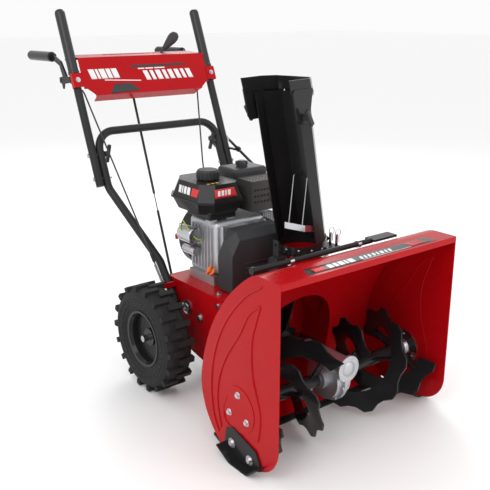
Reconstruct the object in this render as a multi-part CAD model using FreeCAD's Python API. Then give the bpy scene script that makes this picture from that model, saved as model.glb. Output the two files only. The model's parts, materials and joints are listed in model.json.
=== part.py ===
"""Two-stage, wheel-driven snow blower with a 61 cm clearing width.

Millimetres. While it is being built, x = 0 is the machine's middle plane and +x is the
operator's left, y = 0 is the front edge of the auger housing and +y runs back to the
operator, and z = 0 is the ground. Every node is moved at the end so that the origin lies
on the ground under the middle of the machine.
"""
import FreeCAD
import Part
import math
import os

V = FreeCAD.Vector
X, Y, Z = V(1, 0, 0), V(0, 1, 0), V(0, 0, 1)

# ---- driving dimensions -------------------------------------------------------------
CLEARING_WIDTH = 610.0      # outside of the auger housing
HOUSING_TOP = 513.0
SHEET = 2.5                 # sheet metal of housing, chute and chassis
GAP = 0.3                   # between curved faces that move past each other
MACHINE_LENGTH = 1385.0     # housing front edge to the ends of the clutch levers

AUGER_Y, AUGER_Z = 150.0, 144.0
AUGER_R = 135.0
IMPELLER_Z = 190.0
DRUM_R = 150.0
DRUM_BACK = 420.0

CHUTE_X, CHUTE_Y, CHUTE_Z = 80.0, 357.0, 439.0   # centre of the chute's turning ring
CHUTE_TURN = -74.0          # rest direction, degrees from straight ahead
CHUTE_LEAN = 15.0
CHUTE_TOP = 880.0

WHEEL_Y, WHEEL_R = 630.0, 160.0
WHEEL_OUT, WHEEL_WIDTH = 305.0, 95.0
CHASSIS_HALF, CHASSIS_TOP, CHASSIS_REAR = 150.0, 308.0, 709.0
CRANK_Z = 417.0
DISC_Z, DISC_FACE = 235.0, 545.0
FRICTION_R = 58.0
FRICTION_X = 45.0           # friction wheel at rest; it travels to the same distance right

TUBE_R = 12.7
HANDLE_LEAN = 22.0          # degrees from upright
LOWER_X, UPPER_X = 226.0, 252.0
GRIP_TOP = 1084.0

HALF = CLEARING_WIDTH / 2
LEAN = math.tan(math.radians(HANDLE_LEAN))
BEND_Y, BEND_Z = 921.0, 553.0           # where the handle turns up
UP_HANDLE = V(0, math.sin(math.radians(HANDLE_LEAN)), math.cos(math.radians(HANDLE_LEAN)))


# ---- helpers ------------------------------------------------------------------------
def box(x, y, z):
    """A block between the low and high ends given for each axis."""
    return Part.makeBox(x[1] - x[0], y[1] - y[0], z[1] - z[0], V(x[0], y[0], z[0]))


def rounded_box(x, y, z, radius):
    """A block with all its edges rounded."""
    block = box(x, y, z)
    return block.makeFillet(radius, block.Edges)


def rod(start, end, radius):
    """A round bar between two points."""
    return Part.makeCylinder(radius, (end - start).Length, start, end - start)


def ring(start, end, outer, inner):
    """A round tube between two points."""
    return rod(start, end, outer).cut(rod(start, end, inner))


def placed(shape, origin, axis):
    """Moves a shape made along +Z from the origin so that it runs along another axis."""
    shape.Placement = FreeCAD.Placement(origin, FreeCAD.Rotation(Z, axis))
    return shape


def turned(profile, origin, axis):
    """A turned solid from (radius, height) points, standing on origin along axis."""
    points = [V(r, 0, h) for r, h in profile]
    face = Part.Face(Part.makePolygon(points + points[:1]))
    return placed(face.revolve(V(), Z, 360), origin, axis)


def side_plate(outline, x0, x1):
    """A flat plate from (y, z) corners, between two x."""
    points = [V(x0, y, z) for y, z in outline]
    return Part.Face(Part.makePolygon(points + points[:1])).extrude(V(x1 - x0, 0, 0))


def ribbon(edges, thickness, along):
    """Bent sheet metal: a flat line of edges, thickened on one side and extruded."""
    strip = Part.Wire(edges).makeOffset2D(thickness, 0, True, True)
    return strip.extrude(along)


def lines(points):
    """Straight edges through the points."""
    return [Part.LineSegment(a, b).toShape() for a, b in zip(points, points[1:])]


def route(points, radii):
    """Straight runs joined by tangent arcs, one radius for each inner point."""
    edges = []
    start = points[0]
    for before, corner, after, radius in zip(points, points[1:], points[2:], radii):
        back = (before - corner).normalize()
        ahead = (after - corner).normalize()
        half_turn = (math.pi - back.getAngle(ahead)) / 2
        reach = radius * math.tan(half_turn)
        first = corner + back * reach
        last = corner + ahead * reach
        bisector = (back + ahead).normalize()
        middle = corner + bisector * (radius / math.cos(half_turn) - radius)
        edges.append(Part.LineSegment(start, first).toShape())
        edges.append(Part.Arc(first, middle, last).toShape())
        start = last
    edges.append(Part.LineSegment(start, points[-1]).toShape())
    return Part.Wire(edges)


def bent_rod(points, radii, radius):
    """A round bar or filled tube along a bent route."""
    path = route(points, radii)
    section = Part.Wire(Part.makeCircle(radius, points[0], points[1] - points[0]))
    return path.makePipeShell([section], True, False)


def joined(parts):
    """One welded piece."""
    return parts[0].multiFuse(parts[1:]).removeSplitter()


def group(parts):
    """Identical pieces kept as separate solids in one node."""
    return Part.makeCompound(parts)


def mirrored(shape):
    """The same piece for the other side of the machine."""
    return shape.mirror(V(), X)


def pair(shape):
    """A right-hand piece and its mirror image on the left."""
    return group([shape, mirrored(shape)])


def bolt(seat, axis, head_r=6.5, head_h=5.0, shank_r=4.0, shank=6.0, washer_r=0.0):
    """A hex bolt whose head stands out along axis from its seat."""
    corners = [V(head_r * math.cos(k * math.pi / 3), head_r * math.sin(k * math.pi / 3), 0)
               for k in range(7)]
    head = Part.Face(Part.makePolygon(corners)).extrude(V(0, 0, head_h))
    parts = [head, Part.makeCylinder(shank_r, shank, V(0, 0, -shank))]
    if washer_r:
        head.translate(V(0, 0, 2))
        parts.append(Part.makeCylinder(washer_r, 2))
    return placed(joined(parts), seat, axis)


def save(name, shape):
    """Writes one node, in the finished model's frame."""
    if not shape.isValid():
        print("not valid:", name)
    moved = shape.copy()
    moved.translate(V(0, -MACHINE_LENGTH / 2, 0))
    moved.exportStep("parts/" + name + ".step")


# ---- auger housing ------------------------------------------------------------------
TOP_DEPTH = 67.0            # flat top plate, front to back
BACK_START = V(0, 101, 506)
BACK_MIDDLE = V(0, 239, 368)
BACK_LOW = V(0, 310, 170)
FLOOR_EDGE = V(0, 226, 17)
LOWER_BACK = V(0, 291, 88)
FRONT_CORNER = 85.0         # radius of the side panel's lower front corner
PANEL_BOTTOM = 12.0


def back_curve():
    """The outside line of the housing from its top plate down to its floor edge."""
    top = V(0, TOP_DEPTH, HOUSING_TOP)
    return [Part.Arc(top, V(0, 85, 511), BACK_START).toShape(),
            Part.Arc(BACK_START, BACK_MIDDLE, BACK_LOW).toShape(),
            Part.Arc(BACK_LOW, LOWER_BACK, FLOOR_EDGE).toShape()]


def housing_panel():
    """Right side panel: a flat plate with a raised bearing seat."""
    front_top = V(0, 0, HOUSING_TOP)
    edges = [Part.LineSegment(front_top, V(0, TOP_DEPTH, HOUSING_TOP)).toShape()]
    edges += back_curve()
    corner = V(0, FRONT_CORNER, PANEL_BOTTOM)
    middle = V(0, FRONT_CORNER * 0.293, PANEL_BOTTOM + FRONT_CORNER * 0.293)
    high = V(0, 0, PANEL_BOTTOM + FRONT_CORNER)
    edges.append(Part.LineSegment(FLOOR_EDGE, corner).toShape())
    edges.append(Part.Arc(corner, middle, high).toShape())
    edges.append(Part.LineSegment(high, front_top).toShape())
    panel = Part.Face(Part.Wire(edges)).extrude(V(SHEET, 0, 0))
    panel.translate(V(-HALF, 0, 0))
    seat = Part.makeCylinder(62, 1.5, V(-HALF - 1.5, AUGER_Y, AUGER_Z), X)
    return joined([panel, seat])


def housing_wrap():
    """Top plate with its front lip, and the curved back open to the impeller drum."""
    top_edges = lines([V(0, 0, HOUSING_TOP - 16), V(0, 0, HOUSING_TOP),
                       V(0, TOP_DEPTH, HOUSING_TOP)])
    inside = HALF - SHEET - GAP
    strip = Part.Wire(top_edges + back_curve()).makeOffset2D(SHEET, 0, True, True)
    wrap = strip.extrude(V(2 * inside, 0, 0))
    wrap.translate(V(-inside, 0, 0))
    mouth = rod(V(0, 200, IMPELLER_Z), V(0, DRUM_BACK, IMPELLER_Z), DRUM_R)
    return wrap.cut(mouth)


def impeller_drum():
    """The round housing behind the back sheet, with its top outlet and back plate."""
    back = V(0, DRUM_BACK, IMPELLER_Z)
    front = V(0, 215, IMPELLER_Z)
    shell = ring(front, back, DRUM_R, DRUM_R - SHEET)
    shell = shell.cut(side_plate(inner_housing_outline(), -DRUM_R - 1, DRUM_R + 1))
    plate = rod(V(0, DRUM_BACK - SHEET, IMPELLER_Z), back, DRUM_R)
    plate = plate.cut(rod(V(0, 400, IMPELLER_Z), V(0, 430, IMPELLER_Z), 24))
    outlet = rod(V(CHUTE_X, CHUTE_Y, IMPELLER_Z), V(CHUTE_X, CHUTE_Y, 440), NECK_R - SHEET)
    return joined([shell, plate]).cut(outlet)


def inner_housing_outline():
    """A simple (y, z) outline that fills the housing up to the inside of its back."""
    steps = 14
    centre_y, centre_z, radius = -150.3, 116.7, 463.4 - SHEET
    low, high = math.radians(7), math.radians(56)
    arc = [(centre_y + radius * math.cos(low + (high - low) * k / steps),
            centre_z + radius * math.sin(low + (high - low) * k / steps))
           for k in range(steps + 1)]
    bottom = [(0, 5), (FLOOR_EDGE.y, 5)]
    lower = []
    for k in range(6):
        angle = math.radians(-58 + 66 * k / 6)
        lower.append((150 + 157 * math.cos(angle), 150 + 152 * math.sin(angle)))
    return bottom + lower + arc + [(0, 500)]


NECK_R = 68.0
NECK_TOP = CHUTE_Z - 6


def chute_neck():
    """Round outlet that is welded to the drum and carries the turning ring."""
    low = V(CHUTE_X, CHUTE_Y, IMPELLER_Z + 24)
    high = V(CHUTE_X, CHUTE_Y, NECK_TOP)
    neck = ring(low, high, NECK_R, NECK_R - SHEET)
    rim = ring(V(CHUTE_X, CHUTE_Y, NECK_TOP - 3), high, NECK_R + 9, NECK_R - SHEET)
    drum_space = rod(V(0, 200, IMPELLER_Z), V(0, 440, IMPELLER_Z), DRUM_R + GAP)
    return joined([neck, rim]).cut(drum_space)


def scraper_bar():
    """Wear bar along the lower back edge."""
    width = HALF - SHEET - 1
    outline = [(214, 2), (262, 20), (262, 26), (228, 15), (214, 8)]
    return side_plate(outline, -width, width)


SHOE_BOLTS = [(100, 29), (172, 43)]


def skid_shoe():
    """Right skid shoe: an upright plate on a turned-up sole."""
    outline = [(62, 34), (78, 62), (172, 88), (196, 76), (206, 22), (190, 10), (156, 6),
               (84, 6), (60, 16)]
    plate = side_plate(outline, -HALF - 4.5, -HALF - 1.6)
    sole = [V(0, 46, 34), V(0, 84, 0), V(0, 156, 0), V(0, 210, 26)]
    foot = Part.Wire(route(sole, [30, 30]).Edges).makeOffset2D(-4, 0, True, True)
    foot = foot.extrude(V(-26, 0, 0))
    foot.translate(V(-HALF - 1.6, 0, 0))
    return joined([plate, foot])


def skid_bolts():
    """Carriage bolts with big washers, two on each shoe."""
    right = [bolt(V(-HALF - 4.5, y, z), -X, 7, 5, 4, 9, washer_r=13) for y, z in SHOE_BOLTS]
    return group(right + [mirrored(b) for b in right])


def auger_bearing():
    """Right shaft bushing: a flanged sleeve on the inside of the side panel."""
    face = -HALF + SHEET + GAP
    profile = [(13.1, 0), (52, 0), (52, 3), (24, 5), (20, 15), (13.1, 15)]
    return turned(profile, V(face, AUGER_Y, AUGER_Z), X)


def bearing_bolts():
    """Three bolts on each side panel that hold the bushing."""
    right = []
    for k in range(3):
        angle = math.radians(90 + 120 * k)
        seat = V(-HALF - 1, AUGER_Y + 40 * math.cos(angle), AUGER_Z + 40 * math.sin(angle))
        right.append(bolt(seat, -X, 6.5, 5, 4, 10, washer_r=9))
    return group(right + [mirrored(b) for b in right])


# ---- augers and gearbox -------------------------------------------------------------
AUGER_SHAFT_R = 12.7
FLIGHT_IN, FLIGHT_OUT = 52.0, 284.0
FLIGHT_TURN = 320.0
FLIGHT_STEP = 10.0
RIBBON_WIDTH = 58.0
TOOTH_DEPTH = 13.0
FLIGHT_THICK = 5.0


def auger_point(x, radius, angle):
    """A point on the auger at a distance and angle round its axis."""
    return V(x, AUGER_Y + radius * math.cos(angle), AUGER_Z + radius * math.sin(angle))


def auger_ribbon(start_angle):
    """One toothed ribbon that winds round the right half of the shaft."""
    steps = int(FLIGHT_TURN / FLIGHT_STEP)
    sections = []
    for k in range(steps + 1):
        angle = math.radians(start_angle + FLIGHT_STEP * k)
        x = -FLIGHT_OUT + (FLIGHT_OUT - FLIGHT_IN) * k / steps
        tip = AUGER_R if k % 4 < 2 else AUGER_R - TOOTH_DEPTH
        root = AUGER_R - RIBBON_WIDTH
        corners = [auger_point(x, root, angle), auger_point(x, tip, angle),
                   auger_point(x + FLIGHT_THICK, tip, angle),
                   auger_point(x + FLIGHT_THICK, root, angle)]
        sections.append(Part.makePolygon(corners + corners[:1]))
    return Part.makeLoft(sections, True, True)


def auger_arm(start_angle, share):
    """A flat arm from the tube out to a ribbon, at a share of the ribbon's length."""
    x = -FLIGHT_OUT + (FLIGHT_OUT - FLIGHT_IN) * share + FLIGHT_THICK / 2
    arm = box((x - 13, x + 13), (-2.5, 2.5), (AUGER_SHAFT_R + 3, AUGER_R - RIBBON_WIDTH + 8))
    arm.rotate(V(), X, start_angle + FLIGHT_TURN * share - 90)
    arm.translate(V(0, AUGER_Y, AUGER_Z))
    return arm


def auger_flight():
    """Right auger: a tube with two opposite toothed ribbons on flat arms."""
    tube = ring(V(-FLIGHT_OUT + 6, AUGER_Y, AUGER_Z), V(-46, AUGER_Y, AUGER_Z), 18,
                AUGER_SHAFT_R + 0.05)
    parts = [tube]
    for start in (0, 180):
        parts.append(auger_ribbon(start))
        parts += [auger_arm(start, share) for share in (0.06, 0.5, 0.94)]
    return joined(parts)


def auger_shaft():
    """Cross shaft, its worm wheel, and the ends of the two shear bolts."""
    shaft = rod(V(-HALF + 6, AUGER_Y, AUGER_Z), V(HALF - 6, AUGER_Y, AUGER_Z), AUGER_SHAFT_R)
    heads = []
    for side in (-1, 1):
        for x in (-66, 66):
            seat = V(x, AUGER_Y, AUGER_Z + side * 18.2)
            heads.append(bolt(seat, Z * side, 6, 4, 3, 0.1))
    return group([shaft, auger_worm_wheel()] + heads)


WORM_R = 11.0
WORM_WHEEL_R = IMPELLER_Z - AUGER_Z - WORM_R - 0.6
WORM_WHEEL_TEETH = 20


def auger_worm_wheel():
    """Bronze worm wheel, pressed on the cross shaft in the gearbox."""
    disc = rod(V(-8, AUGER_Y, AUGER_Z), V(8, AUGER_Y, AUGER_Z), WORM_WHEEL_R)
    disc = disc.cut(rod(V(-9, AUGER_Y, AUGER_Z), V(9, AUGER_Y, AUGER_Z), AUGER_SHAFT_R + 0.02))
    notch = box((-9, 9), (-1.6, 1.6), (WORM_WHEEL_R - 4, WORM_WHEEL_R + 2))
    for k in range(WORM_WHEEL_TEETH):
        cutter = notch.copy()
        cutter.rotate(V(), X, 360 / WORM_WHEEL_TEETH * k)
        cutter.translate(V(0, AUGER_Y, AUGER_Z))
        disc = disc.cut(cutter)
    return disc


def gearbox_half():
    """Right half of the gearbox casting, split on the machine's middle plane."""
    centre = V(0, AUGER_Y, AUGER_Z)
    parts = [rod(centre, centre - X * 24, 59), rod(centre, centre - X * 5, 68),
             rod(centre - X * 20, centre - X * 40, 27)]
    worm = rod(V(0, 78, IMPELLER_Z), V(0, 238, IMPELLER_Z), 28)
    flange = rod(V(0, 76, IMPELLER_Z), V(0, 84, IMPELLER_Z), 36)
    left_half = box((-60, 0), (0, 300), (0, 300))
    parts += [worm.common(left_half), flange.common(left_half)]
    parts += [rod(centre + Y * (60 * math.cos(a)) + Z * (60 * math.sin(a)),
                  centre + Y * (60 * math.cos(a)) + Z * (60 * math.sin(a)) - X * 9, 8)
              for a in gearbox_bolt_angles()]
    solid = joined(parts)
    hollow = rod(centre + X, centre - X * 16, 46)
    hollow = hollow.fuse(rod(V(0, 100, IMPELLER_Z), V(0, 222, IMPELLER_Z), 17))
    bores = rod(centre, centre - X * 60, AUGER_SHAFT_R + 0.05)
    bores = bores.fuse(rod(V(0, 90, IMPELLER_Z), V(0, 260, IMPELLER_Z), 9.55))
    return solid.cut(hollow).cut(bores)


def gearbox_bolt_angles():
    """Angles of the flange bolts, clear of the worm's housing."""
    return [math.radians(a) for a in (150, 195, 240, 285, 330, 15)]


def gearbox_bolts():
    """Flange bolts of the gearbox, with their heads on the left half."""
    seats = [V(9, AUGER_Y + 60 * math.cos(a), AUGER_Z + 60 * math.sin(a))
             for a in gearbox_bolt_angles()]
    return group([bolt(seat, X, 5.5, 5, 3, 17) for seat in seats])


def impeller_shaft():
    """Shaft with its worm, from the gearbox back through the drum to the big pulley."""
    shaft = rod(V(0, 92, IMPELLER_Z), V(0, 468, IMPELLER_Z), 9.5)
    worm = rod(V(0, 118, IMPELLER_Z), V(0, 182, IMPELLER_Z), WORM_R)
    solid = shaft.fuse(worm)
    groove = Part.makeTorus(WORM_R + 0.5, 2.2, V(), Y)
    for k in range(6):
        cutter = groove.copy()
        cutter.translate(V(0, 124 + 10 * k, IMPELLER_Z))
        solid = solid.cut(cutter)
    big_pulley = pulley(BIG_PULLEY_R, 9.52, V(0, AUGER_BELT_Y, IMPELLER_Z))
    return group([solid, big_pulley])


IMPELLER_R = 142.0
BLADES = 4


def impeller():
    """Four-bladed rotor that throws the snow up through the neck."""
    hub = ring(V(0, 330, IMPELLER_Z), V(0, 406, IMPELLER_Z), 20, 9.52)
    disc = ring(V(0, 400, IMPELLER_Z), V(0, 404, IMPELLER_Z), 78, 18)
    parts = [hub, disc]
    for k in range(BLADES):
        blade = box((-2.5, 2.5), (334, 402), (17, IMPELLER_R - 2))
        tip = box((-2.5, 16), (334, 402), (IMPELLER_R - 16, IMPELLER_R - 11))
        web = box((-16, 0), (390, 402), (24, 96))
        for piece in (blade, tip, web):
            piece.rotate(V(), Y, 360 / BLADES * k + 20)
            piece.translate(V(0, 0, IMPELLER_Z))
            parts.append(piece)
    return joined(parts)


def drum_bearing():
    """Flanged bearing of the impeller shaft on the drum's back plate."""
    profile = [(9.55, 0), (42, 0), (42, 4), (23, 5), (23, 12), (9.55, 12)]
    return turned(profile, V(0, DRUM_BACK, IMPELLER_Z), Y)


# ---- belts and pulleys --------------------------------------------------------------
AUGER_BELT_Y, DRIVE_BELT_Y = 455.0, 480.0
BIG_PULLEY_R, CRANK_PULLEY_R = 88.0, 34.0
DISC_PULLEY_R, CRANK_DRIVE_R = 78.0, 26.0
BELT_W, BELT_H = 10.0, 7.0


def pulley(radius, bore, centre):
    """A V-belt pulley with one groove, centred along Y."""
    groove = radius - BELT_H - 1
    hub = min(radius * 0.35 + 6, groove - 3)
    profile = [(bore, -8), (radius, -8), (groove, -5.6), (groove, 5.6), (radius, 8),
               (hub, 8), (hub, 9), (bore, 9)]
    return turned(profile, centre, Y)


def belt(z_low, r_low, z_high, r_high, y):
    """A belt round two pulleys, as a closed band of even thickness."""
    inner = belt_outline(z_low, r_low - BELT_H, z_high, r_high - BELT_H, y - BELT_W / 2)
    outer = belt_outline(z_low, r_low, z_high, r_high, y - BELT_W / 2)
    return Part.Face(outer).cut(Part.Face(inner)).extrude(V(0, BELT_W, 0))


def drive_belts():
    """The auger belt and the wheel-drive belt."""
    return group([belt(IMPELLER_Z, BIG_PULLEY_R, CRANK_Z, CRANK_PULLEY_R, AUGER_BELT_Y),
                  belt(DISC_Z, DISC_PULLEY_R, CRANK_Z, CRANK_DRIVE_R, DRIVE_BELT_Y)])


def belt_outline(z_low, r_low, z_high, r_high, y):
    """Two arcs and their common tangents, for pulleys one above the other."""
    tilt = math.asin((r_low - r_high) / (z_high - z_low))
    cos, sin = math.cos(tilt), math.sin(tilt)
    low_right = V(r_low * cos, y, z_low + r_low * sin)
    low_left = V(-r_low * cos, y, z_low + r_low * sin)
    high_right = V(r_high * cos, y, z_high + r_high * sin)
    high_left = V(-r_high * cos, y, z_high + r_high * sin)
    return Part.Wire([Part.Arc(low_left, V(0, y, z_low - r_low), low_right).toShape(),
                      Part.LineSegment(low_right, high_right).toShape(),
                      Part.Arc(high_right, V(0, y, z_high + r_high), high_left).toShape(),
                      Part.LineSegment(high_left, low_left).toShape()])


def belt_cover():
    """Moulded cover over the belts, between the drum and the engine."""
    outline = [(440, 466), (457, 489), (497, 490), (508, 468), (508, 312), (440, 312)]
    solid = side_plate(outline, -104, 104)
    solid = solid.makeChamfer(26, [e for e in solid.Edges
                                   if abs(e.BoundBox.XLength) < 1 and e.BoundBox.ZMin > 460])
    inner = side_plate([(443.5, 465), (459, 486), (495, 486), (504.5, 466), (504.5, 300),
                        (443.5, 300)], -100.5, 100.5)
    inner = inner.makeChamfer(25, [e for e in inner.Edges
                                   if abs(e.BoundBox.XLength) < 1 and e.BoundBox.ZMin > 460])
    shaft_hole = rod(V(0, 495, CRANK_Z), V(0, 515, CRANK_Z), 16)
    return solid.cut(inner).cut(shaft_hole)


# ---- chassis and drive --------------------------------------------------------------
CHASSIS_FRONT = 426.0
CHASSIS_OUTLINE = [(CHASSIS_FRONT, CHASSIS_TOP), (CHASSIS_REAR, CHASSIS_TOP), (704, 214),
                   (676, 104), (598, 104), (530, 91), (CHASSIS_FRONT, 78)]
HEX_Y = DISC_FACE + FRICTION_R + 0.3
AXLE_R = 9.5


def chassis():
    """Folded steel box under the engine, with tabs for the cables behind."""
    outside = side_plate(CHASSIS_OUTLINE, -CHASSIS_HALF, CHASSIS_HALF)
    inside = box((-CHASSIS_HALF + SHEET, CHASSIS_HALF - SHEET), (400, CHASSIS_REAR - SHEET),
                 (60, CHASSIS_TOP - SHEET))
    shell = outside.cut(inside)
    belts = box((-96, 96), (443, 499), (280, 320))
    axle = rod(V(-200, WHEEL_Y, WHEEL_R), V(200, WHEEL_Y, WHEEL_R), 16)
    hexes = rod(V(-200, HEX_Y, DISC_Z), V(200, HEX_Y, DISC_Z), 12)
    flange = [box((s - 12, s + 12), (DRUM_BACK, CHASSIS_FRONT + 1), (142, 238))
              for s in (-136, 136)]
    tabs = [box((-CHASSIS_HALF - 48, -CHASSIS_HALF + 1), (662, 665.5), (284, 300)),
            box((48, 84), (CHASSIS_REAR - 1, CHASSIS_REAR + 52), (302, 305.5))]
    solid = joined([shell, disc_bracket()] + flange + tabs)
    return solid.cut(belts).cut(axle).cut(hexes)


def disc_bracket():
    """Cross plate welded in the chassis, with the bore for the drive disc's shaft."""
    plate = box((-CHASSIS_HALF + 1, CHASSIS_HALF - 1), (503, 507), (150, CHASSIS_TOP - 1))
    boss = rod(V(0, 492, DISC_Z), V(0, 514, DISC_Z), 18)
    bore = rod(V(0, 480, DISC_Z), V(0, 520, DISC_Z), 8.05)
    return joined([plate, boss]).cut(bore)


def chassis_bottom_cover():
    """Sheet that closes the chassis from below."""
    outline = [(430, 78.2), (530, 90.8), (598, 103.8), (676, 103.8), (676, 101.3),
               (598, 101.3), (530, 88.3), (430, 75.7)]
    return side_plate(outline, -CHASSIS_HALF, CHASSIS_HALF)


def side_bearings(y, z, bore, collar):
    """Flanged bushings of a cross shaft, in both chassis sides."""
    profile = [(bore, -6), (bore + 4, -6), (bore + 4, 0.2), (collar, 0.2), (collar, 4),
               (bore + 6, 6), (bore + 6, 9), (bore, 9)]
    right = turned(profile, V(-CHASSIS_HALF, y, z), -X)
    return [right, mirrored(right)]


def shaft_bearings():
    """All plain bearings: augers, impeller, axle and six-sided shaft."""
    augers = [auger_bearing(), mirrored(auger_bearing())]
    axles = side_bearings(WHEEL_Y, WHEEL_R, AXLE_R + 0.05, 30)
    return group(augers + [drum_bearing()] + axles + side_bearings(HEX_Y, DISC_Z, 7.05, 22))


def chassis_bolts():
    """Bolts on the chassis sides and along its top front edge."""
    side = [bolt(V(-CHASSIS_HALF, 538, 221), -X, 8, 6, 5, 8, washer_r=14),
            bolt(V(-CHASSIS_HALF, 447, 286), -X, 6.5, 5, 4, 8, washer_r=9)]
    side.append(bolt(V(-128, 473, CHASSIS_TOP), Z, 6.5, 5, 4, 8, washer_r=9))
    return group(side + [mirrored(b) for b in side])


def drive_disc():
    """Aluminium disc, its shaft and pulley; the friction wheel runs on the rear face."""
    disc = rod(V(0, DISC_FACE - 9, DISC_Z), V(0, DISC_FACE, DISC_Z), 66)
    hub = rod(V(0, DISC_FACE - 24, DISC_Z), V(0, DISC_FACE - 9, DISC_Z), 24)
    shaft = rod(V(0, 470, DISC_Z), V(0, DISC_FACE - 24, DISC_Z), 8)
    return group([joined([disc, hub, shaft]),
                  pulley(DISC_PULLEY_R, 8.02, V(0, DRIVE_BELT_Y, DISC_Z))])


def hex_bar(radius, x_low, x_high, y, z):
    """A six-sided bar along X."""
    corners = [V(x_low, y + radius * math.cos(k * math.pi / 3),
                 z + radius * math.sin(k * math.pi / 3)) for k in range(7)]
    return Part.Face(Part.makePolygon(corners)).extrude(V(x_high - x_low, 0, 0))


PINION_R = 28.0
GEAR_GAP = 0.8
AXLE_GEAR_R = math.hypot(HEX_Y - WHEEL_Y, DISC_Z - WHEEL_R) - PINION_R - GEAR_GAP


def hex_shaft():
    """Six-sided shaft with round ends and the pinion that drives the axle."""
    middle = hex_bar(8.5, -134, 134, HEX_Y, DISC_Z)
    ends = rod(V(-157, HEX_Y, DISC_Z), V(157, HEX_Y, DISC_Z), 7)
    pinion = rod(V(-132, HEX_Y, DISC_Z), V(-112, HEX_Y, DISC_Z), PINION_R)
    return joined([middle, ends, pinion])


def friction_wheel():
    """Rubber-tyred wheel that slides along the six-sided shaft."""
    centre = V(FRICTION_X, HEX_Y, DISC_Z)
    outer = rod(centre - X * 7, centre + X * 7, FRICTION_R)
    hub = rod(centre - X * 20, centre + X * 20, 20)
    bore = hex_bar(8.55, FRICTION_X - 30, FRICTION_X + 30, HEX_Y, DISC_Z)
    return joined([outer, hub]).cut(bore)


def axle_gear():
    """Toothed gear on the wheel axle."""
    teeth = 48
    disc = rod(V(-130, WHEEL_Y, WHEEL_R), V(-114, WHEEL_Y, WHEEL_R), AXLE_GEAR_R)
    disc = disc.cut(rod(V(-140, WHEEL_Y, WHEEL_R), V(-100, WHEEL_Y, WHEEL_R), AXLE_R))
    notch = box((-131, -113), (-1.3, 1.3), (AXLE_GEAR_R - 4, AXLE_GEAR_R + 2))
    cutters = []
    for k in range(teeth):
        cutter = notch.copy()
        cutter.rotate(V(), X, 360 / teeth * k)
        cutter.translate(V(0, WHEEL_Y, WHEEL_R))
        cutters.append(cutter)
    return disc.cut(group(cutters))


def axle():
    """Wheel axle with its gear and the klik pins of the wheels."""
    end = WHEEL_OUT - 12
    bar = rod(V(-end, WHEEL_Y, WHEEL_R), V(end, WHEEL_Y, WHEEL_R), AXLE_R)
    return group([bar, axle_gear()] + wheel_pins())


RIM_R = 80.0


def wheel_rim():
    """Right rim: a well for the tyre, a dished disc and a hub tube, pressed as one."""
    inner, outer = WHEEL_OUT - WHEEL_WIDTH + 10, WHEEL_OUT - 10
    bore = AXLE_R + 0.02
    disc = inner + 26
    profile = [(bore, inner - 28), (20, inner - 28), (20, disc), (56, disc + 8),
               (RIM_R - 8, disc + 14), (RIM_R - 8, inner + 10), (RIM_R - 2, inner),
               (RIM_R + 5, inner), (RIM_R + 5, inner + 3), (RIM_R - 4, inner + 12),
               (RIM_R - 4, outer - 12), (RIM_R + 5, outer - 3), (RIM_R + 5, outer),
               (RIM_R - 2, outer), (RIM_R - 8, outer - 10), (RIM_R - 8, disc + 20),
               (54, disc + 14), (26, disc + 6), (26, disc + 26), (bore, disc + 26)]
    return turned(profile, V(0, WHEEL_Y, WHEEL_R), -X)


def wheel_tyre():
    """Right snow tyre: a hollow carcass with chunky tread blocks."""
    inner, outer = WHEEL_OUT - WHEEL_WIDTH, WHEEL_OUT
    bead = RIM_R + 5.3
    tread = WHEEL_R - 9
    profile = [(bead, inner + 13), (bead + 22, inner + 3), (bead + 44, inner + 2),
               (tread - 8, inner + 8), (tread, inner + 22), (tread, outer - 22),
               (tread - 8, outer - 8), (bead + 44, outer - 2), (bead + 22, outer - 3),
               (bead, outer - 13)]
    carcass = turned(profile, V(0, WHEEL_Y, WHEEL_R), -X)
    return joined([carcass] + tread_blocks(inner, outer))


TREAD_BLOCKS = 18


def tread_blocks(inner, outer):
    """Two staggered rows of blocks that reach the tyre's full radius."""
    middle = (inner + outer) / 2
    blocks = []
    for k in range(TREAD_BLOCKS):
        for row, (low, high) in enumerate(((inner + 6, middle + 6), (middle - 6, outer - 6))):
            block = box((-high, -low), (-8, 8), (WHEEL_R - 16, WHEEL_R - 0.6))
            block.rotate(V(), X, 360 / TREAD_BLOCKS * (k + row / 2))
            block.translate(V(0, WHEEL_Y, WHEEL_R))
            blocks.append(block)
    ends = ring(V(-outer, WHEEL_Y, WHEEL_R), V(-inner, WHEEL_Y, WHEEL_R), WHEEL_R, WHEEL_R - 20)
    return [block.common(ends) for block in blocks]


def wheel_pins():
    """The two ends of each klik pin that stand out of the hub tubes."""
    x = WHEEL_OUT - WHEEL_WIDTH - 9
    ends = []
    for side in (-1, 1):
        for sign in (-1, 1):
            low = V(side * x, WHEEL_Y, WHEEL_R + sign * 20.2)
            ends.append(rod(low, low + Z * sign * 8, 3))
    return ends


# ---- engine -------------------------------------------------------------------------
ENGINE_FRONT, ENGINE_REAR = 532.0, 672.0
COVER_FRONT = 514.0


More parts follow.
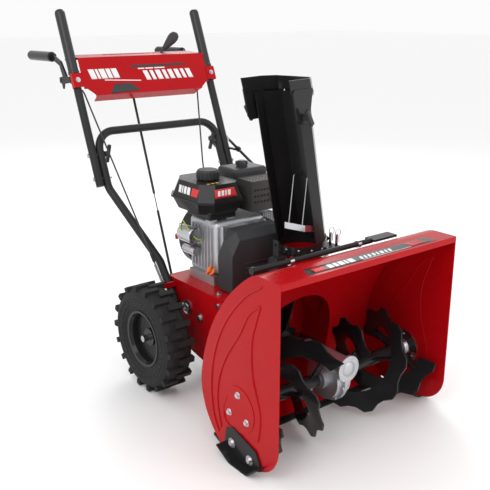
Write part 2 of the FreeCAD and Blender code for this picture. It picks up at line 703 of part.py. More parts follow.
def engine_crankcase():
    """Aluminium crankcase with feet, ribs, front cover, oil neck and tank feet."""
    body = rounded_box((-92, 88), (ENGINE_FRONT, ENGINE_REAR), (330, 498), 14)
    feet = box((-100, 100), (ENGINE_FRONT + 4, ENGINE_REAR - 10), (CHASSIS_TOP + 0.2, 334))
    arch = box((-60, 60), (ENGINE_FRONT, ENGINE_REAR), (CHASSIS_TOP, 322))
    cover = rod(V(0, COVER_FRONT, CRANK_Z), V(0, ENGINE_FRONT + 4, CRANK_Z), 66)
    ribs = [box((-97, -80), (y, y + 4), (350, 480)) for y in range(552, 660, 16)]
    ribs += [box((x, x + 4), (518, 540), (345, 489)) for x in (-78, -52, 48, 74)]
    tank_feet = [box((x - 12, x + 12), (556, 580), (490, 502)) for x in (-84, -24)]
    solid = joined([body, feet, cover, oil_neck()] + ribs + tank_feet).cut(arch)
    bore = rod(V(0, 500, CRANK_Z), V(0, ENGINE_REAR + 4, CRANK_Z), 13)
    room = rod(V(0, 548, CRANK_Z), V(0, 656, CRANK_Z), 58)
    dip_bore = placed(Part.makeCylinder(5.4, 60, V(0, 0, -45)), DIP_START, DIP_AXIS)
    return solid.cut(room).cut(bore).cut(dip_bore)


def crankcase_bolts():
    """Bolts round the crankcase's front cover."""
    angles = [math.radians(30 + 60 * k) for k in range(6)]
    return group([bolt(V(58 * math.cos(a), COVER_FRONT, CRANK_Z + 58 * math.sin(a)), -Y,
                       5.5, 4.5, 3, 8)
                  for a in angles])


def engine_crankshaft():
    """Crankshaft with its webs and crank pin, and the two belt pulleys on its front end."""
    shafts = [rod(V(0, 446, CRANK_Z), V(0, 588, CRANK_Z), 9.5),
              rod(V(0, 500, CRANK_Z), V(0, 588, CRANK_Z), 12.9),
              rod(V(0, 616, CRANK_Z), V(0, 700, CRANK_Z), 12.9)]
    webs = [rod(V(0, y, CRANK_Z), V(0, y + 10, CRANK_Z), 44) for y in (580, 614)]
    pin = rod(V(0, 585, CRANK_Z + 27), V(0, 620, CRANK_Z + 27), 11)
    pulleys = [pulley(CRANK_PULLEY_R, 9.52, V(0, AUGER_BELT_Y, CRANK_Z)),
               pulley(CRANK_DRIVE_R, 9.52, V(0, DRIVE_BELT_Y, CRANK_Z))]
    return group([joined(shafts + webs + [pin])] + pulleys)


def flywheel():
    """Finned flywheel inside the blower housing."""
    disc = ring(V(0, 690, CRANK_Z), V(0, 704, CRANK_Z), 78, 12.92)
    fins = []
    for k in range(12):
        fin = box((-2, 2), (703, 712), (40, 76))
        fin.rotate(V(), Y, 30 * k)
        fin.translate(V(0, 0, CRANK_Z))
        fins.append(fin)
    return joined([disc] + fins)


def engine_cylinder():
    """Finned cylinder barrel on the crankcase's left side."""
    core = box((80, 138), (556, 628), (392, 476))
    fins = [box((x, x + 3), (545, 640), (376, 496)) for x in range(93, 138, 8)]
    return joined([core] + fins).cut(box((60, 88.3), (500, 700), (300, 520)))


def cylinder_head():
    """Cylinder head and valve cover."""
    head = box((138.3, 158), (550, 635), (380, 492))
    cover = rounded_box((150, 172), (560, 625), (392, 480), 8)
    return joined([head, cover])


PLUG_SEAT = V(150, 550, 420)
PLUG_AXIS = V(0.35, -1, 0)


def cylinder_and_head():
    """Cylinder barrel, head and spark plug."""
    bore = placed(Part.makeCylinder(5.2, 30, V(0, 0, -12)), PLUG_SEAT, PLUG_AXIS)
    return group([engine_cylinder(), cylinder_head().cut(bore), spark_plug()])


def spark_plug():
    """Spark plug with its insulator, in the head."""
    profile = [(5, -10), (5, 0), (9, 0), (9, 8), (5, 9), (5, 26), (2, 27), (2, 32), (0, 32),
               (0, -10)]
    return turned(profile, PLUG_SEAT, PLUG_AXIS)


def blower_housing():
    """Round black housing over the flywheel, with its cooling slots at the rear."""
    front = ENGINE_REAR + 0.3
    profile = [(94, front), (102, 684), (102, 716), (92, 726), (30, 726), (30, 722.5),
               (90, 722.5), (98.5, 714), (98.5, 686), (92, front + 3), (60, front + 3),
               (60, front)]
    shell = turned(profile, V(0, 0, CRANK_Z), Y)
    slots = []
    for k in range(16):
        slot = box((-3.5, 3.5), (718, 730), (44, 84))
        slot.rotate(V(), Y, 360 / 16 * k)
        slot.translate(V(0, 0, CRANK_Z))
        slots.append(slot)
    return group([shell.cut(group(slots)), recoil_cover()])


def recoil_cover():
    """Hub cap of the recoil starter with the rope guide."""
    cap = turned([(34, 726.1), (34, 732), (26, 737), (0, 737), (0, 726.1)], V(0, 0, CRANK_Z), Y)
    lug = box((-12, 12), (726.1, 737), (CRANK_Z + 30, CRANK_Z + 92))
    return joined([cap, lug])


def recoil_handle():
    """Pull grip of the recoil starter."""
    grip = rod(V(-24, 748, CRANK_Z + 84), V(24, 748, CRANK_Z + 84), 8)
    stem = rod(V(0, 737.4, CRANK_Z + 84), V(0, 748, CRANK_Z + 84), 5)
    return joined([grip, stem])


TANK_X, TANK_Y = (-136, 26), (528, 748)
TANK_SEAM, TANK_TOP = 556.0, 607.0


CAP_X, CAP_Y = -52.0, 628.0


def tank_half(low, high, low_inset, high_inset):
    """A tapered half of the tank between two heights, lofted with cut corners."""
    wires = []
    for z, shrink in ((low, low_inset), (high, high_inset)):
        x0, x1 = TANK_X[0] + shrink, TANK_X[1] - shrink
        y0, y1 = TANK_Y[0] + shrink, TANK_Y[1] - shrink
        cut = 34
        corners = [V(x0 + cut, y0, z), V(x1 - cut * 0.6, y0, z), V(x1, y0 + cut * 0.6, z),
                   V(x1, y1 - cut, z), V(x1 - cut, y1, z), V(x0 + cut, y1, z),
                   V(x0, y1 - cut * 1.4, z), V(x0, y0 + cut, z)]
        wires.append(Part.makePolygon(corners + corners[:1]))
    return Part.makeLoft(wires, True, True)


def fuel_tank():
    """Fuel tank: two pressed halves joined at a seam, with a filler neck."""
    lower = tank_half(520.5, TANK_SEAM, 16, 3)
    sump = rounded_box((-104, -6), (548, 668), (502, 530), 8)
    upper = tank_half(TANK_SEAM, TANK_TOP, 3, 18)
    seam = tank_half(TANK_SEAM - 2.5, TANK_SEAM + 2.5, 0, 0)
    neck = rod(V(CAP_X, CAP_Y, 600), V(CAP_X, CAP_Y, 618), 22)
    solid = joined([lower, sump, upper, seam, neck])
    filler = rod(V(CAP_X, CAP_Y, 575), V(CAP_X, CAP_Y, 620), 18)
    return solid.cut(filler)


def fuel_cap():
    """Ribbed fuel cap over the filler neck."""
    cap = turned([(22.4, 608.5), (32, 608.5), (34, 612), (34, 630), (29, 637), (0, 637),
                  (0, 618.5), (22.4, 618.5)], V(CAP_X, CAP_Y, 0), Z)
    notches = []
    for k in range(18):
        notch = box((-1.6, 1.6), (32.6, 36), (600, 640))
        notch.rotate(V(), Z, 20 * k)
        notch.translate(V(CAP_X, CAP_Y, 0))
        notches.append(notch)
    return cap.cut(group(notches))


def muffler():
    """Muffler body with its outlet."""
    body = rounded_box((44, 148), (536, 596), (520, 590), 12)
    outlet = ring(V(120, 520, 552), V(120, 540, 552), 13, 10)
    return joined([body, outlet])


def muffler_guard():
    """Perforated steel guard over the muffler."""
    shell = box((36, 158), (528, 602), (512, 604)).cut(box((38, 156), (530, 604), (506, 602)))
    holes = []
    for row in range(3):
        for k in range(9):
            y, z = 520, 540 + 18 * row
            x = 48 + 12 * k
            holes.append(Part.makeCylinder(3.6, 20, V(x, y, z), Y))
    for row in range(3):
        for k in range(9):
            holes.append(Part.makeCylinder(3.6, 20, V(48 + 12 * k, 542 + 14 * row, 592), Z))
    outlet = Part.makeCylinder(15, 20, V(120, 520, 552), Y)
    return shell.cut(group(holes)).cut(outlet)


def heater_box():
    """Box over the carburettor that keeps it warm, with the choke's boss on top."""
    shell = rounded_box((34, 160), (606, 704), (522, 626), 12)
    inner = rounded_box((37, 157), (609, 701), (525, 623), 9)
    boss = rod(V(84, 640, 622), V(84, 640, 632), 17)
    spout = side_plate([(612, 596), (640, 596), (640, 604), (612, 604)], 26, 40)
    bore = rod(V(84, 640, 600), V(84, 640, 640), 5.1)
    return joined([shell.cut(inner), boss, spout]).cut(bore)


def carburettor():
    """Carburettor inside the heater box."""
    body = box((62, 106), (622, 664), (548, 586))
    bowl = rod(V(84, 643, 528), V(84, 643, 548), 17)
    throat = rod(V(50, 643, 567), V(118, 643, 567), 16)
    bore = rod(V(49, 643, 567), V(119, 643, 567), 10)
    mount = box((80, 88), (664, 700.9), (540, 582))
    return joined([body, bowl, throat, mount]).cut(bore)


def choke_knob():
    """Three-lobed choke knob on the heater box."""
    stem = rod(V(84, 640, 592), V(84, 640, 640), 5)
    lobes = [rod(V(84 + 13 * math.cos(a), 640 + 13 * math.sin(a), 632.4),
                 V(84 + 13 * math.cos(a), 640 + 13 * math.sin(a), 643), 8)
             for a in (0, 2 * math.pi / 3, 4 * math.pi / 3)]
    return joined([stem, rod(V(84, 640, 632.4), V(84, 640, 646), 12)] + lobes)


STARTER_X, STARTER_Z = -124.0, 452.0


def starter_motor():
    """Electric starter with its solenoid on the crankcase's right side."""
    motor = turned([(0, 592), (22, 592), (25, 595), (25, 655), (22, 658), (0, 658)],
                   V(STARTER_X, 0, STARTER_Z), Y)
    base = box((-118, -97.1), (600, 650), (STARTER_Z - 12, STARTER_Z + 12))
    solenoid = rod(V(-112, 604, 400), V(-112, 664, 400), 14)
    foot = box((-112, -97.1), (612, 640), (396, 404))
    return group([joined([motor, base]), joined([solenoid, foot])])


DIP_START = V(-97.5, 542, 350)
DIP_AXIS = V(-0.80, -0.25, 0.55).normalize()


def dipstick():
    """Orange oil dipstick in its filler neck."""
    profile = [(0, -20), (5, -20), (5, 8.4), (12, 8.4), (13, 11), (13, 16), (7, 18), (7, 24),
               (0, 24)]
    plug = turned(profile, DIP_START, DIP_AXIS)
    wing = box((-13, 13), (-3, 3), (14, 27))
    return joined([plug, placed(wing, DIP_START, DIP_AXIS)])


def oil_neck():
    """Filler neck cast on the crankcase's lower corner."""
    return turned([(0, -30), (12, -30), (12, 8), (0, 8)], DIP_START, DIP_AXIS)


def engine_switch():
    """Red stop switch on the right of the blower housing."""
    body = rod(V(-102.5, 700, CRANK_Z + 10), V(-112, 700, CRANK_Z + 10), 9)
    paddle = box((-124, -111), (697, 703), (CRANK_Z + 2, CRANK_Z + 18))
    return joined([body, paddle])


# ---- chute --------------------------------------------------------------------------
CHANNEL = [(-66, -34), (-70, 8), (-44, 56), (44, 56), (70, 8), (66, -34)]
RING_R = 80.0
COLLAR_R = 71.0
RING_TEETH = 36
CHUTE_BASE = CHUTE_Z - 5.7
LEAN_FROM = CHUTE_BASE + 46     # the leaning channel is centred on the ring here
HINGE_Z = CHUTE_TOP - 4


def chute_axes(shape):
    """Turns a chute piece made facing straight ahead to its rest direction and place."""
    shape.rotate(V(), Z, CHUTE_TURN)
    shape.translate(V(CHUTE_X, CHUTE_Y, 0))
    return shape


def lean_shift(z):
    """How far the channel has moved forward at height z."""
    return math.tan(math.radians(CHUTE_LEAN)) * (z - LEAN_FROM)


def hinge_line(half):
    """Ends of the deflector's hinge line, behind the channel's top."""
    back = 64.5 - lean_shift(CHUTE_TOP)
    return V(-half, back, HINGE_Z), V(half, back, HINGE_Z)


def channel(outline, low, high, base, lean, thickness):
    """A leaning open channel whose section is (across, back) points at the base height."""
    shift = math.tan(math.radians(lean))
    edges = lines([V(a, b - shift * (low - base), low) for a, b in outline])
    strip = Part.Wire(edges).makeOffset2D(thickness, 2, True, True)
    return strip.extrude(V(0, -shift * (high - low), high - low))


def chute_ring():
    """Turning ring: a toothed flange under the chute."""
    flange = ring(V(0, 0, CHUTE_BASE), V(0, 0, CHUTE_BASE + 6), RING_R, NECK_R - SHEET)
    notch = box((-2.6, 2.6), (RING_R - 6, RING_R + 3), (CHUTE_BASE - 1, CHUTE_BASE + 7))
    cutters = []
    for k in range(RING_TEETH):
        cutter = notch.copy()
        cutter.rotate(V(), Z, 360 / RING_TEETH * k)
        cutters.append(cutter)
    return chute_axes(flange.cut(group(cutters)))


def chute():
    """Discharge chute, a low collar that opens into a leaning channel, and its ring."""
    bottom = CHUTE_BASE + 6
    collar = ring(V(0, 0, bottom), V(0, 0, bottom + 60), COLLAR_R, COLLAR_R - SHEET)
    flange = ring(V(0, 0, bottom), V(0, 0, bottom + 3), RING_R - 3, COLLAR_R - SHEET)
    slope = side_plate([(-120, bottom + 10), (120, bottom + 46), (120, bottom + 100),
                        (-120, bottom + 100)], -90, 90)
    walls = channel(CHANNEL, bottom + 20, CHUTE_TOP, LEAN_FROM, CHUTE_LEAN, SHEET)
    keep = side_plate([(-120, bottom + 60), (-34, bottom + 24), (90, bottom + 16),
                       (90, 940), (-260, 940), (-260, bottom + 200)], -90, 90)
    left, right = hinge_line(29)
    knuckle = rod(left, right, 5.5)
    web = box((-29, 29), (left.y - 8, left.y - 2), (HINGE_Z - 3, HINGE_Z + 3))
    body = joined([collar.cut(slope), flange, walls.common(keep), knuckle, web])
    body = body.cut(rod(left, right, 2.55))
    return group([chute_axes(body), chute_ring()] + chute_bolts())


def chute_bolts():
    """Bolts round the chute's flange."""
    bolts = []
    for k in range(6):
        a = math.radians(60 * k + 10)
        bolts.append(bolt(V(73.5 * math.cos(a), 73.5 * math.sin(a), CHUTE_BASE + 9.1), Z,
                          4.5, 4, 2.5, 0.1))
    return [chute_axes(b) for b in bolts]


def chute_keepers():
    """Three clips under the ring that hold the chute to the neck."""
    clips = []
    for k in range(3):
        clip = box((-12, 12), (RING_R + 1, RING_R + 3), (NECK_TOP - 6, CHUTE_BASE + 8.2))
        foot = box((-12, 12), (NECK_R + 2, RING_R + 3), (NECK_TOP - 6, NECK_TOP - 3.2))
        top = box((-12, 12), (RING_R - 2.4, RING_R + 3), (CHUTE_BASE + 6.3, CHUTE_BASE + 8.2))
        piece = joined([clip, foot, top])
        piece.rotate(V(), Z, 120 * k + 75)
        piece.translate(V(CHUTE_X, CHUTE_Y, 0))
        clips.append(piece)
    return clips


DEFLECTOR_LEAN = 20.0
DEFLECTOR_LOW = CHUTE_TOP - 70
DEFLECTOR = [(-73.5, -72), (-75, 20), (-54, 60), (54, 60), (75, 20), (73.5, -72)]


def deflector():
    """Hinged cap of the chute: a deeper channel, side plates and the hinge's pin."""
    low, high = CHUTE_TOP + 4, CHUTE_TOP + 40
    shift = lean_shift(CHUTE_TOP)
    cap = channel([(a, b - shift) for a, b in DEFLECTOR], low, high, low, DEFLECTOR_LEAN, 2.5)
    parts = [cap]
    for side in (-1, 1):
        ear = [(-72 - shift, high - 30), (-50 - shift, DEFLECTOR_LOW + 10),
               (-36 - shift, DEFLECTOR_LOW), (8 - shift, DEFLECTOR_LOW),
               (20 - shift, low + 12), (-66 - shift, low + 12)]
        parts.append(side_plate(ear, side * 73.5, side * 77))
    left, right = hinge_line(37)
    pin = rod(left, right, 2.5)
    back, wall = left.y, 61 - shift
    lug = [(back - 0.5, HINGE_Z - 4), (back + 4, HINGE_Z - 4), (back + 4, low + 8),
           (wall, low + 8), (wall, low + 1), (back - 0.5, low + 1)]
    lugs = [side_plate(lug, side * 33, side * 37) for side in (-1, 1)]
    return chute_axes(joined(parts + lugs + [pin]))


# ---- handle -------------------------------------------------------------------------
def handle_y(z):
    """How far back the leaning part of the handle is at a height."""
    return BEND_Y + (z - BEND_Z) * LEAN


def handle_point(x, z, behind=0.0):
    """A point on the handle's leaning line, or a distance behind it, square to it."""
    square = V(0, UP_HANDLE.z, -UP_HANDLE.y)
    return V(x, handle_y(z), z) + square * behind


CROSSBAR_Z = 718.0
FOOT_X = CHASSIS_HALF + TUBE_R + GAP


def lower_handle():
    """Bent tube: two legs that splay out from the chassis, and the crossbar."""
    leg = [V(-FOOT_X, 648, 238), V(-FOOT_X, 731, 348), handle_point(-LOWER_X, BEND_Z),
           handle_point(-LOWER_X, CROSSBAR_Z)]
    points = leg + [V(-p.x, p.y, p.z) for p in reversed(leg)]
    return bent_rod(points, [60, 70, 60, 60, 70, 60], TUBE_R)


def upper_handle():
    """Right upper tube, bolted beside the lower leg."""
    low = handle_point(-UPPER_X, BEND_Z + 6)
    return rod(low, handle_point(-UPPER_X, GRIP_TOP - 8), TUBE_R)


def grip():
    """Right hand grip, a long sleeve with a round end and a collar."""
    length = (GRIP_TOP - 893) / UP_HANDLE.z
    profile = [(TUBE_R + 0.02, 0), (17.5, 0), (17.5, 8), (16, 10), (16, length - 10),
               (13.5, length - 3), (9, length), (0, length), (0, length - 7.5),
               (TUBE_R + 0.02, length - 7.5)]
    return turned(profile, handle_point(-UPPER_X, 893), UP_HANDLE)


HANDLE_BOLTS = (582.0, 652.0)


def handle_bolts():
    """Bolts that join the upper tubes to the lower legs, heads outside."""
    bolts = []
    for z in HANDLE_BOLTS:
        seat = handle_point(-UPPER_X - TUBE_R - 0.5, z)
        bolts.append(bolt(seat, -X, 7, 5, 3.2, 58))
    foot = [bolt(V(-FOOT_X - TUBE_R - 0.5, y, z), -X, 7, 5, 3.2, 30)
            for y, z in ((662, 256.5), (690, 293.6))]
    right = bolts + foot
    return group(right + [mirrored(b) for b in right])


def wing_knobs():
    """Wing knobs on the inner ends of the upper handle bolts."""
    end = handle_point(-LOWER_X + TUBE_R + 0.6, HANDLE_BOLTS[1])
    hub = turned([(3.3, 0), (9, 0), (9, 10), (6, 14), (3.3, 14)], end, X)
    wing = box((0, 9), (-4, 4), (-30, 30))
    wing.translate(V(9, 0, 0))
    wing.rotate(V(), X, 20)
    wing.translate(end)
    core = rod(end - X, end + X * 20, 3.3)
    right = joined([hub, wing]).cut(core)
    return group([right, mirrored(right)])


PANEL_LOW, PANEL_HIGH = 822.0, 936.0
PANEL_HALF = 236.0
SLOT_Y, LEVER_PIVOT_Z = 1122.0, 846.0


def control_panel():
    """Folded sheet panel between the handles: face, top with a slot, and lower lip."""
    front = -TUBE_R - 3
    face_low = handle_point(0, PANEL_LOW, front)
    face_high = handle_point(0, PANEL_HIGH, front)
    lip = V(0, face_low.y + 34, face_low.z - 22)
    back = V(0, face_high.y + 88, face_high.z + 4)
    hem = V(0, back.y + 3, back.z - 16)
    strip = ribbon(lines([lip, face_low, face_high, back, hem]), 1.6, V(2 * PANEL_HALF, 0, 0))
    strip.translate(V(-PANEL_HALF, 0, 0))
    slot = box((-118, 126), (SLOT_Y - 8, SLOT_Y + 8), (PANEL_HIGH - 12, PANEL_HIGH + 24))
    panel = strip.cut(slot)
    for side in (-1, 1):
        corner = [V(side * 188, 900, 790), V(side * 260, 900, 790), V(side * 260, 900, 849),
                  V(side * 226, 900, 849), V(side * 206, 900, 834), V(side * 196, 900, 822)]
        prism = Part.Face(Part.makePolygon(corner + corner[:1])).extrude(V(0, 300, 0))
        panel = panel.cut(prism)
    low, high = handle_point(0, 850, front), handle_point(0, 892, front)
    across = UPPER_X + TUBE_R + 4
    parts = [panel]
    for side in (-1, 1):
        ear = side_plate([(low.y, low.z), (high.y, high.z), (high.y - 2, high.z),
                          (low.y - 2, low.z)], side * (PANEL_HALF - 2), side * across)
        wall = side_plate([(low.y - 2, low.z), (high.y - 2, high.z), (high.y + 13, high.z - 6),
                           (low.y + 13, low.z - 6)], side * (across - 1.6), side * across)
        parts += [ear, wall]
    return joined(parts + [speed_lever_bracket()])


def panel_bolts():
    """Bolts through the panel's ears and the upper tubes."""
    right = bolt(handle_point(-UPPER_X, 871, -TUBE_R - 5), handle_point(0, 0, -1) - handle_point(0, 0),
                 6, 4, 3, 3, washer_r=8)
    return group([right, mirrored(right)])


LEVER_PIVOT = V(-UPPER_X, 1118, 872)


def lever_bracket():
    """Right clutch lever bracket: a saddle behind the upper tube with two cheeks."""
    outline = [(1056, 886), (1096, 885), (1128, 880), (1128, 864), (1112, 860), (1108, 846),
               (1098, 846), (1094, 862), (1052, 868)]
    cheeks = [side_plate(outline, -UPPER_X + s, -UPPER_X + s + 2.5) for s in (-17.5, 15)]
    tube = rod(handle_point(-UPPER_X, 840), handle_point(-UPPER_X, 910), TUBE_R)
    saddle = rod(handle_point(-UPPER_X, 869), handle_point(-UPPER_X, 884), 17.5)
    ahead = side_plate([(handle_y(840) - 60, 840), (handle_y(840) + 2, 840),
                        (handle_y(920) + 2, 920), (handle_y(920) - 60, 920)],
                       -UPPER_X - 30, -UPPER_X + 30)
    pin = rod(LEVER_PIVOT - X * 20, LEVER_PIVOT + X * 20, 3)
    return joined(cheeks + [saddle]).cut(tube).cut(ahead).fuse(pin)


def clutch_lever():
    """Right clutch lever: a flat arm, bent back, with its black sleeve."""
    x = -UPPER_X
    arm = side_plate([(1110, 862), (1126, 862), (1156, 914), (1206, 931), (1206, 947),
                      (1146, 928), (1110, 884)], x - 3, x + 3)
    arm = arm.cut(rod(LEVER_PIVOT - X * 20, LEVER_PIVOT + X * 20, 3.05))
    stem = rod(V(x, 1196, 939), V(x, 1376, 937), 6)
    return group([joined([arm, stem]), lever_sleeve()])


def lever_sleeve():
    """Black sleeve on the right clutch lever."""
    profile = [(6.02, 0), (13, 0), (16, 4), (16, 166), (13, 175), (0, 177), (0, 171),
               (6.02, 171)]
    return turned(profile, V(-UPPER_X, 1208, 938.87), V(0, 180, -2))


LEVER_REST = 46.0           # degrees from upright, towards the left
LEVER_PIN = V(4, SLOT_Y, LEVER_PIVOT_Z)


def lever_direction():
    """Direction of the speed lever at rest."""
    angle = math.radians(LEVER_REST)
    return V(math.sin(angle), 0, math.cos(angle))


def speed_lever():
    """Speed lever: a stick on a hub under the panel, a short tail, and its knob."""
    hub = ring(LEVER_PIN - Y * 8, LEVER_PIN + Y * 8, 11, 4.05)
    stick = rod(LEVER_PIN + lever_direction() * 8, LEVER_PIN + lever_direction() * 186, 4)
    tail = rod(LEVER_PIN, LEVER_PIN + V(-22, 0, -14), 4)
    core = rod(LEVER_PIN - Y * 9, LEVER_PIN + Y * 9, 4.05)
    return group([joined([hub, stick, tail]).cut(core), speed_knob()])


def speed_knob():
    """Pear-shaped knob of the speed lever."""
    profile = [(4.02, 0), (8, 0), (12, 18), (17, 42), (17.5, 54), (14, 65), (7, 71), (0, 72),
               (0, 26), (4.02, 26)]
    return turned(profile, LEVER_PIN + lever_direction() * 161, lever_direction())


def speed_lever_bracket():
    """Bracket under the panel that carries the speed lever's pin."""
    plate = box((-24, 32), (SLOT_Y + 9, SLOT_Y + 12), (LEVER_PIVOT_Z - 16, PANEL_HIGH + 2))
    pin = rod(LEVER_PIN - Y * 10, LEVER_PIN + Y * 12, 4)
    return joined([plate, pin])


ROD_TOP = V(-30, 1085, 806)
ROD_LOW = V(-125, 728, 296)


def speed_rod():
    """Two straight rods and the thin link between them, from the lever to the chassis."""
    along = ROD_LOW - ROD_TOP
    upper = rod(ROD_TOP, ROD_TOP + along * 0.56, 4)
    link = rod(ROD_TOP + along * 0.555, ROD_TOP + along * 0.66, 1.6)
    lower = rod(ROD_TOP + along * 0.655, ROD_LOW, 4)
    return joined([upper, link, lower])


# ---- cables -------------------------------------------------------------------------
CABLE_R = 2.5
AUGER_CABLE = [V(-231.9, 1098, 851), V(-226, 1056, 842), V(-190, 668.1, 292)]
DRIVE_CABLE = [V(231.9, 1098, 851), V(212, 1064, 842), V(84, 850, 610), V(66, 752, 308.1)]


def cable(points):
    """A tight cable from its lever to the chassis, with an arc at each bend."""
    radii = [40] * (len(points) - 2)
    shape = bent_rod(points, radii, CABLE_R)
    length = route(points, radii).Length
    share = shape.Volume / (math.pi * CABLE_R ** 2 * length)
    print("cable length", round(length), "bend radii", radii, "volume share", round(share, 3))
    return shape


# ---- tool, crank and small fittings -------------------------------------------------
TOOL_Y, TOOL_Z = 121.0, 509.0


def cleanout_tool():
    """Chute clean-out tool: a bar with a paddle, kept on top of the housing."""
    bar = rod(V(-282, TOOL_Y, TOOL_Z), V(110, TOOL_Y, TOOL_Z), 7)
    paddle = box((104, 190), (TOOL_Y - 17, TOOL_Y + 17), (TOOL_Z, TOOL_Z + 6))
    end = rod(V(-290, TOOL_Y, TOOL_Z), V(-280, TOOL_Y, TOOL_Z), 9)
    return joined([bar, paddle, end])


def tool_clips():
    """Two spring clips on the housing that hold the clean-out tool."""
    clips = []
    for x in (-170, 60):
        base = V(x, TOOL_Y, TOOL_Z)
        loop = ring(base - X * 6, base + X * 6, 9.5, 7.4)
        mouth = box((x - 7, x + 7), (TOOL_Y - 7.4, TOOL_Y + 7.4), (TOOL_Z, TOOL_Z + 12))
        clips.append(loop.cut(mouth))
    return clips


CRANK_FRONT = V(169.5, 352, 449)
CRANK_BACK = V(292, 1024, 664)


def crank_direction():
    """Direction of the chute crank from the chute to the operator."""
    return (CRANK_BACK - CRANK_FRONT).normalize()


def crank_throw():
    """The crank's arm at rest: square to the rod and downwards."""
    along = crank_direction()
    return (V(0, 0, -1) + along * along.z).normalize() * 62


def chute_crank():
    """Long crank rod with an end worm at the chute and a bent handle."""
    along = crank_direction()
    arm_end = CRANK_BACK + crank_throw()
    points = [CRANK_FRONT, CRANK_BACK, arm_end, arm_end + along * 86]
    rod_shape = bent_rod(points, [12, 12], 5)
    screw = rod(CRANK_FRONT - along * 4, CRANK_FRONT + along * 34, 9)
    return group([joined([rod_shape, screw]), crank_grip()])


def crank_grip():
    """Sleeve on the crank's handle."""
    along = crank_direction()
    start = CRANK_BACK + crank_throw() + along * 16
    return turned([(5.02, 0), (11, 0), (11, 66), (8, 74), (0, 74), (0, 70.5), (5.02, 70.5)],
                  start, along)


CLIP_X, CLIP_POSTS = 192.0, (330, 356)


def crank_bracket():
    """Steel bracket on the neck that carries the crank's front end and two posts."""
    along = crank_direction()
    plate = box((100, 204), (318, 424), (424, 427))
    posts = [rod(V(CLIP_X, y, 426), V(CLIP_X, y, 462), 4) for y in CLIP_POSTS]
    eye_centre = CRANK_FRONT + along * 56
    eye = rod(eye_centre - along * 3, eye_centre + along * 3, 10)
    leg = box((eye_centre.x - 8, eye_centre.x + 8), (eye_centre.y - 2, eye_centre.y + 2),
              (426, eye_centre.z))
    bore = rod(CRANK_FRONT, CRANK_FRONT + along * 90, 5.1)
    neck = rod(V(CHUTE_X, CHUTE_Y, 300), V(CHUTE_X, CHUTE_Y, 500), NECK_R)
    return joined([plate, eye, leg] + posts).cut(bore).cut(neck)


def crank_eye():
    """Eye bracket on the left upper tube that guides the crank rod."""
    along = crank_direction()
    centre = CRANK_FRONT + along * ((900 - CRANK_FRONT.y) / along.y)
    eye = rod(centre - along * 5, centre + along * 5, 9)
    arm = box((centre.x - 12, centre.x), (centre.y - 2, handle_y(centre.z)),
              (centre.z - 4, centre.z + 1))
    tube = rod(handle_point(UPPER_X, 540), handle_point(UPPER_X, 800), TUBE_R)
    bore = rod(centre - along * 20, centre + along * 90, 5.4)
    return joined([eye, arm]).cut(tube).cut(bore)


def r_clips():
    """Two hairpin clips beside the turning ring, on the crank bracket's pins."""
    clips = []
    for y in CLIP_POSTS:
        base = V(CLIP_X, y - 5.3, 452)
        points = [base + V(-5.4, 0, -14), base + V(-4, 0, 6), base + V(-10, 0, 14),
                  base + V(-8, 0, 26), base + V(8, 0, 26), base + V(10, 0, 14),
                  base + V(4, 0, 6), base + V(5.4, 0, -14)]
        clips.append(bent_rod(points, [3, 4, 5, 5, 4, 3], 1.2))
    return clips


def spring_clips():
    """Clips of the clean-out tool, keepers of the turning ring, and hairpins."""
    return group(tool_clips() + chute_keepers() + r_clips())


def chute_guard():
    """Silver plate and black box on the drum, left of the turning ring."""
    plate = box((-30, -27), (330, 352), (436, 482))
    plate = plate.cut(rod(V(-40, 341, 468), V(-20, 341, 468), 5))
    case = side_plate([(322, 388), (360, 388), (360, 424), (350, 436), (322, 436)], -40, -4)
    post = box((-30, -10), (330, 346), (336, 389))
    drum = rod(V(0, 200, IMPELLER_Z), V(0, 440, IMPELLER_Z), DRUM_R + GAP)
    return joined([plate, case, post]).cut(drum)


def chute_brace():
    """Bright strip across the chute's mouth with two thin rods up to its back wall."""
    low, front = LEAN_FROM + 19, -37
    strip = ribbon(lines([V(-33, front, low), V(33, front, low), V(65.1, -8, low)]), 2,
                   V(0, 0, 18))
    top = low + 152
    wall = 52.8 - lean_shift(top)
    rods = [bent_rod([V(s, front + 1, low + 2), V(s, front + 24, top - 3), V(s, wall, top)],
                     [6], 2) for s in (-22, 22)]
    return chute_axes(joined([strip] + rods))


def deflector_knobs():
    """Wing knobs that lock the deflector to the chute's sides."""
    knobs = []
    for side in (-1, 1):
        centre = V(side * 77.1, -20 - lean_shift(CHUTE_TOP), DEFLECTOR_LOW + 16)
        hub = rod(centre, centre + X * side * 12, 8)
        wing = box((-4, 4), (-6, 6), (-24, 24))
        wing.rotate(V(), X, 35)
        wing.translate(centre + X * side * 16)
        knobs.append(joined([hub, wing]))
    return chute_axes(group(knobs))


def chute_brackets():
    """Guard beside the chute, and the crank's front bracket and rear eye."""
    return group([chute_guard(), crank_bracket(), crank_eye()])


def clutch_cables():
    """The auger clutch cable on the right and the drive clutch cable on the left."""
    return group([cable(AUGER_CABLE), cable(DRIVE_CABLE)])


def bolts():
    """Every visible bolt of the fixed frame."""
    sets = [skid_bolts(), bearing_bolts(), gearbox_bolts(), chassis_bolts(), crankcase_bolts(),
            handle_bolts(), panel_bolts()]
    return group([solid for one in sets for solid in one.Solids])


DRILLED = ("housing_side_right", "housing_side_left", "skid_shoes", "shaft_bearings",
           "gearbox_housing", "chassis", "engine_crankcase", "lower_handle", "upper_handles",
           "control_panel", "lever_brackets")


def save_drilled(name, shape, all_bolts):
    """Writes a node, first drilling it for the bolts that pass through it."""
    if name in DRILLED:
        shape = group([solid.cut(all_bolts) for solid in shape.Solids])
    save(name, shape)


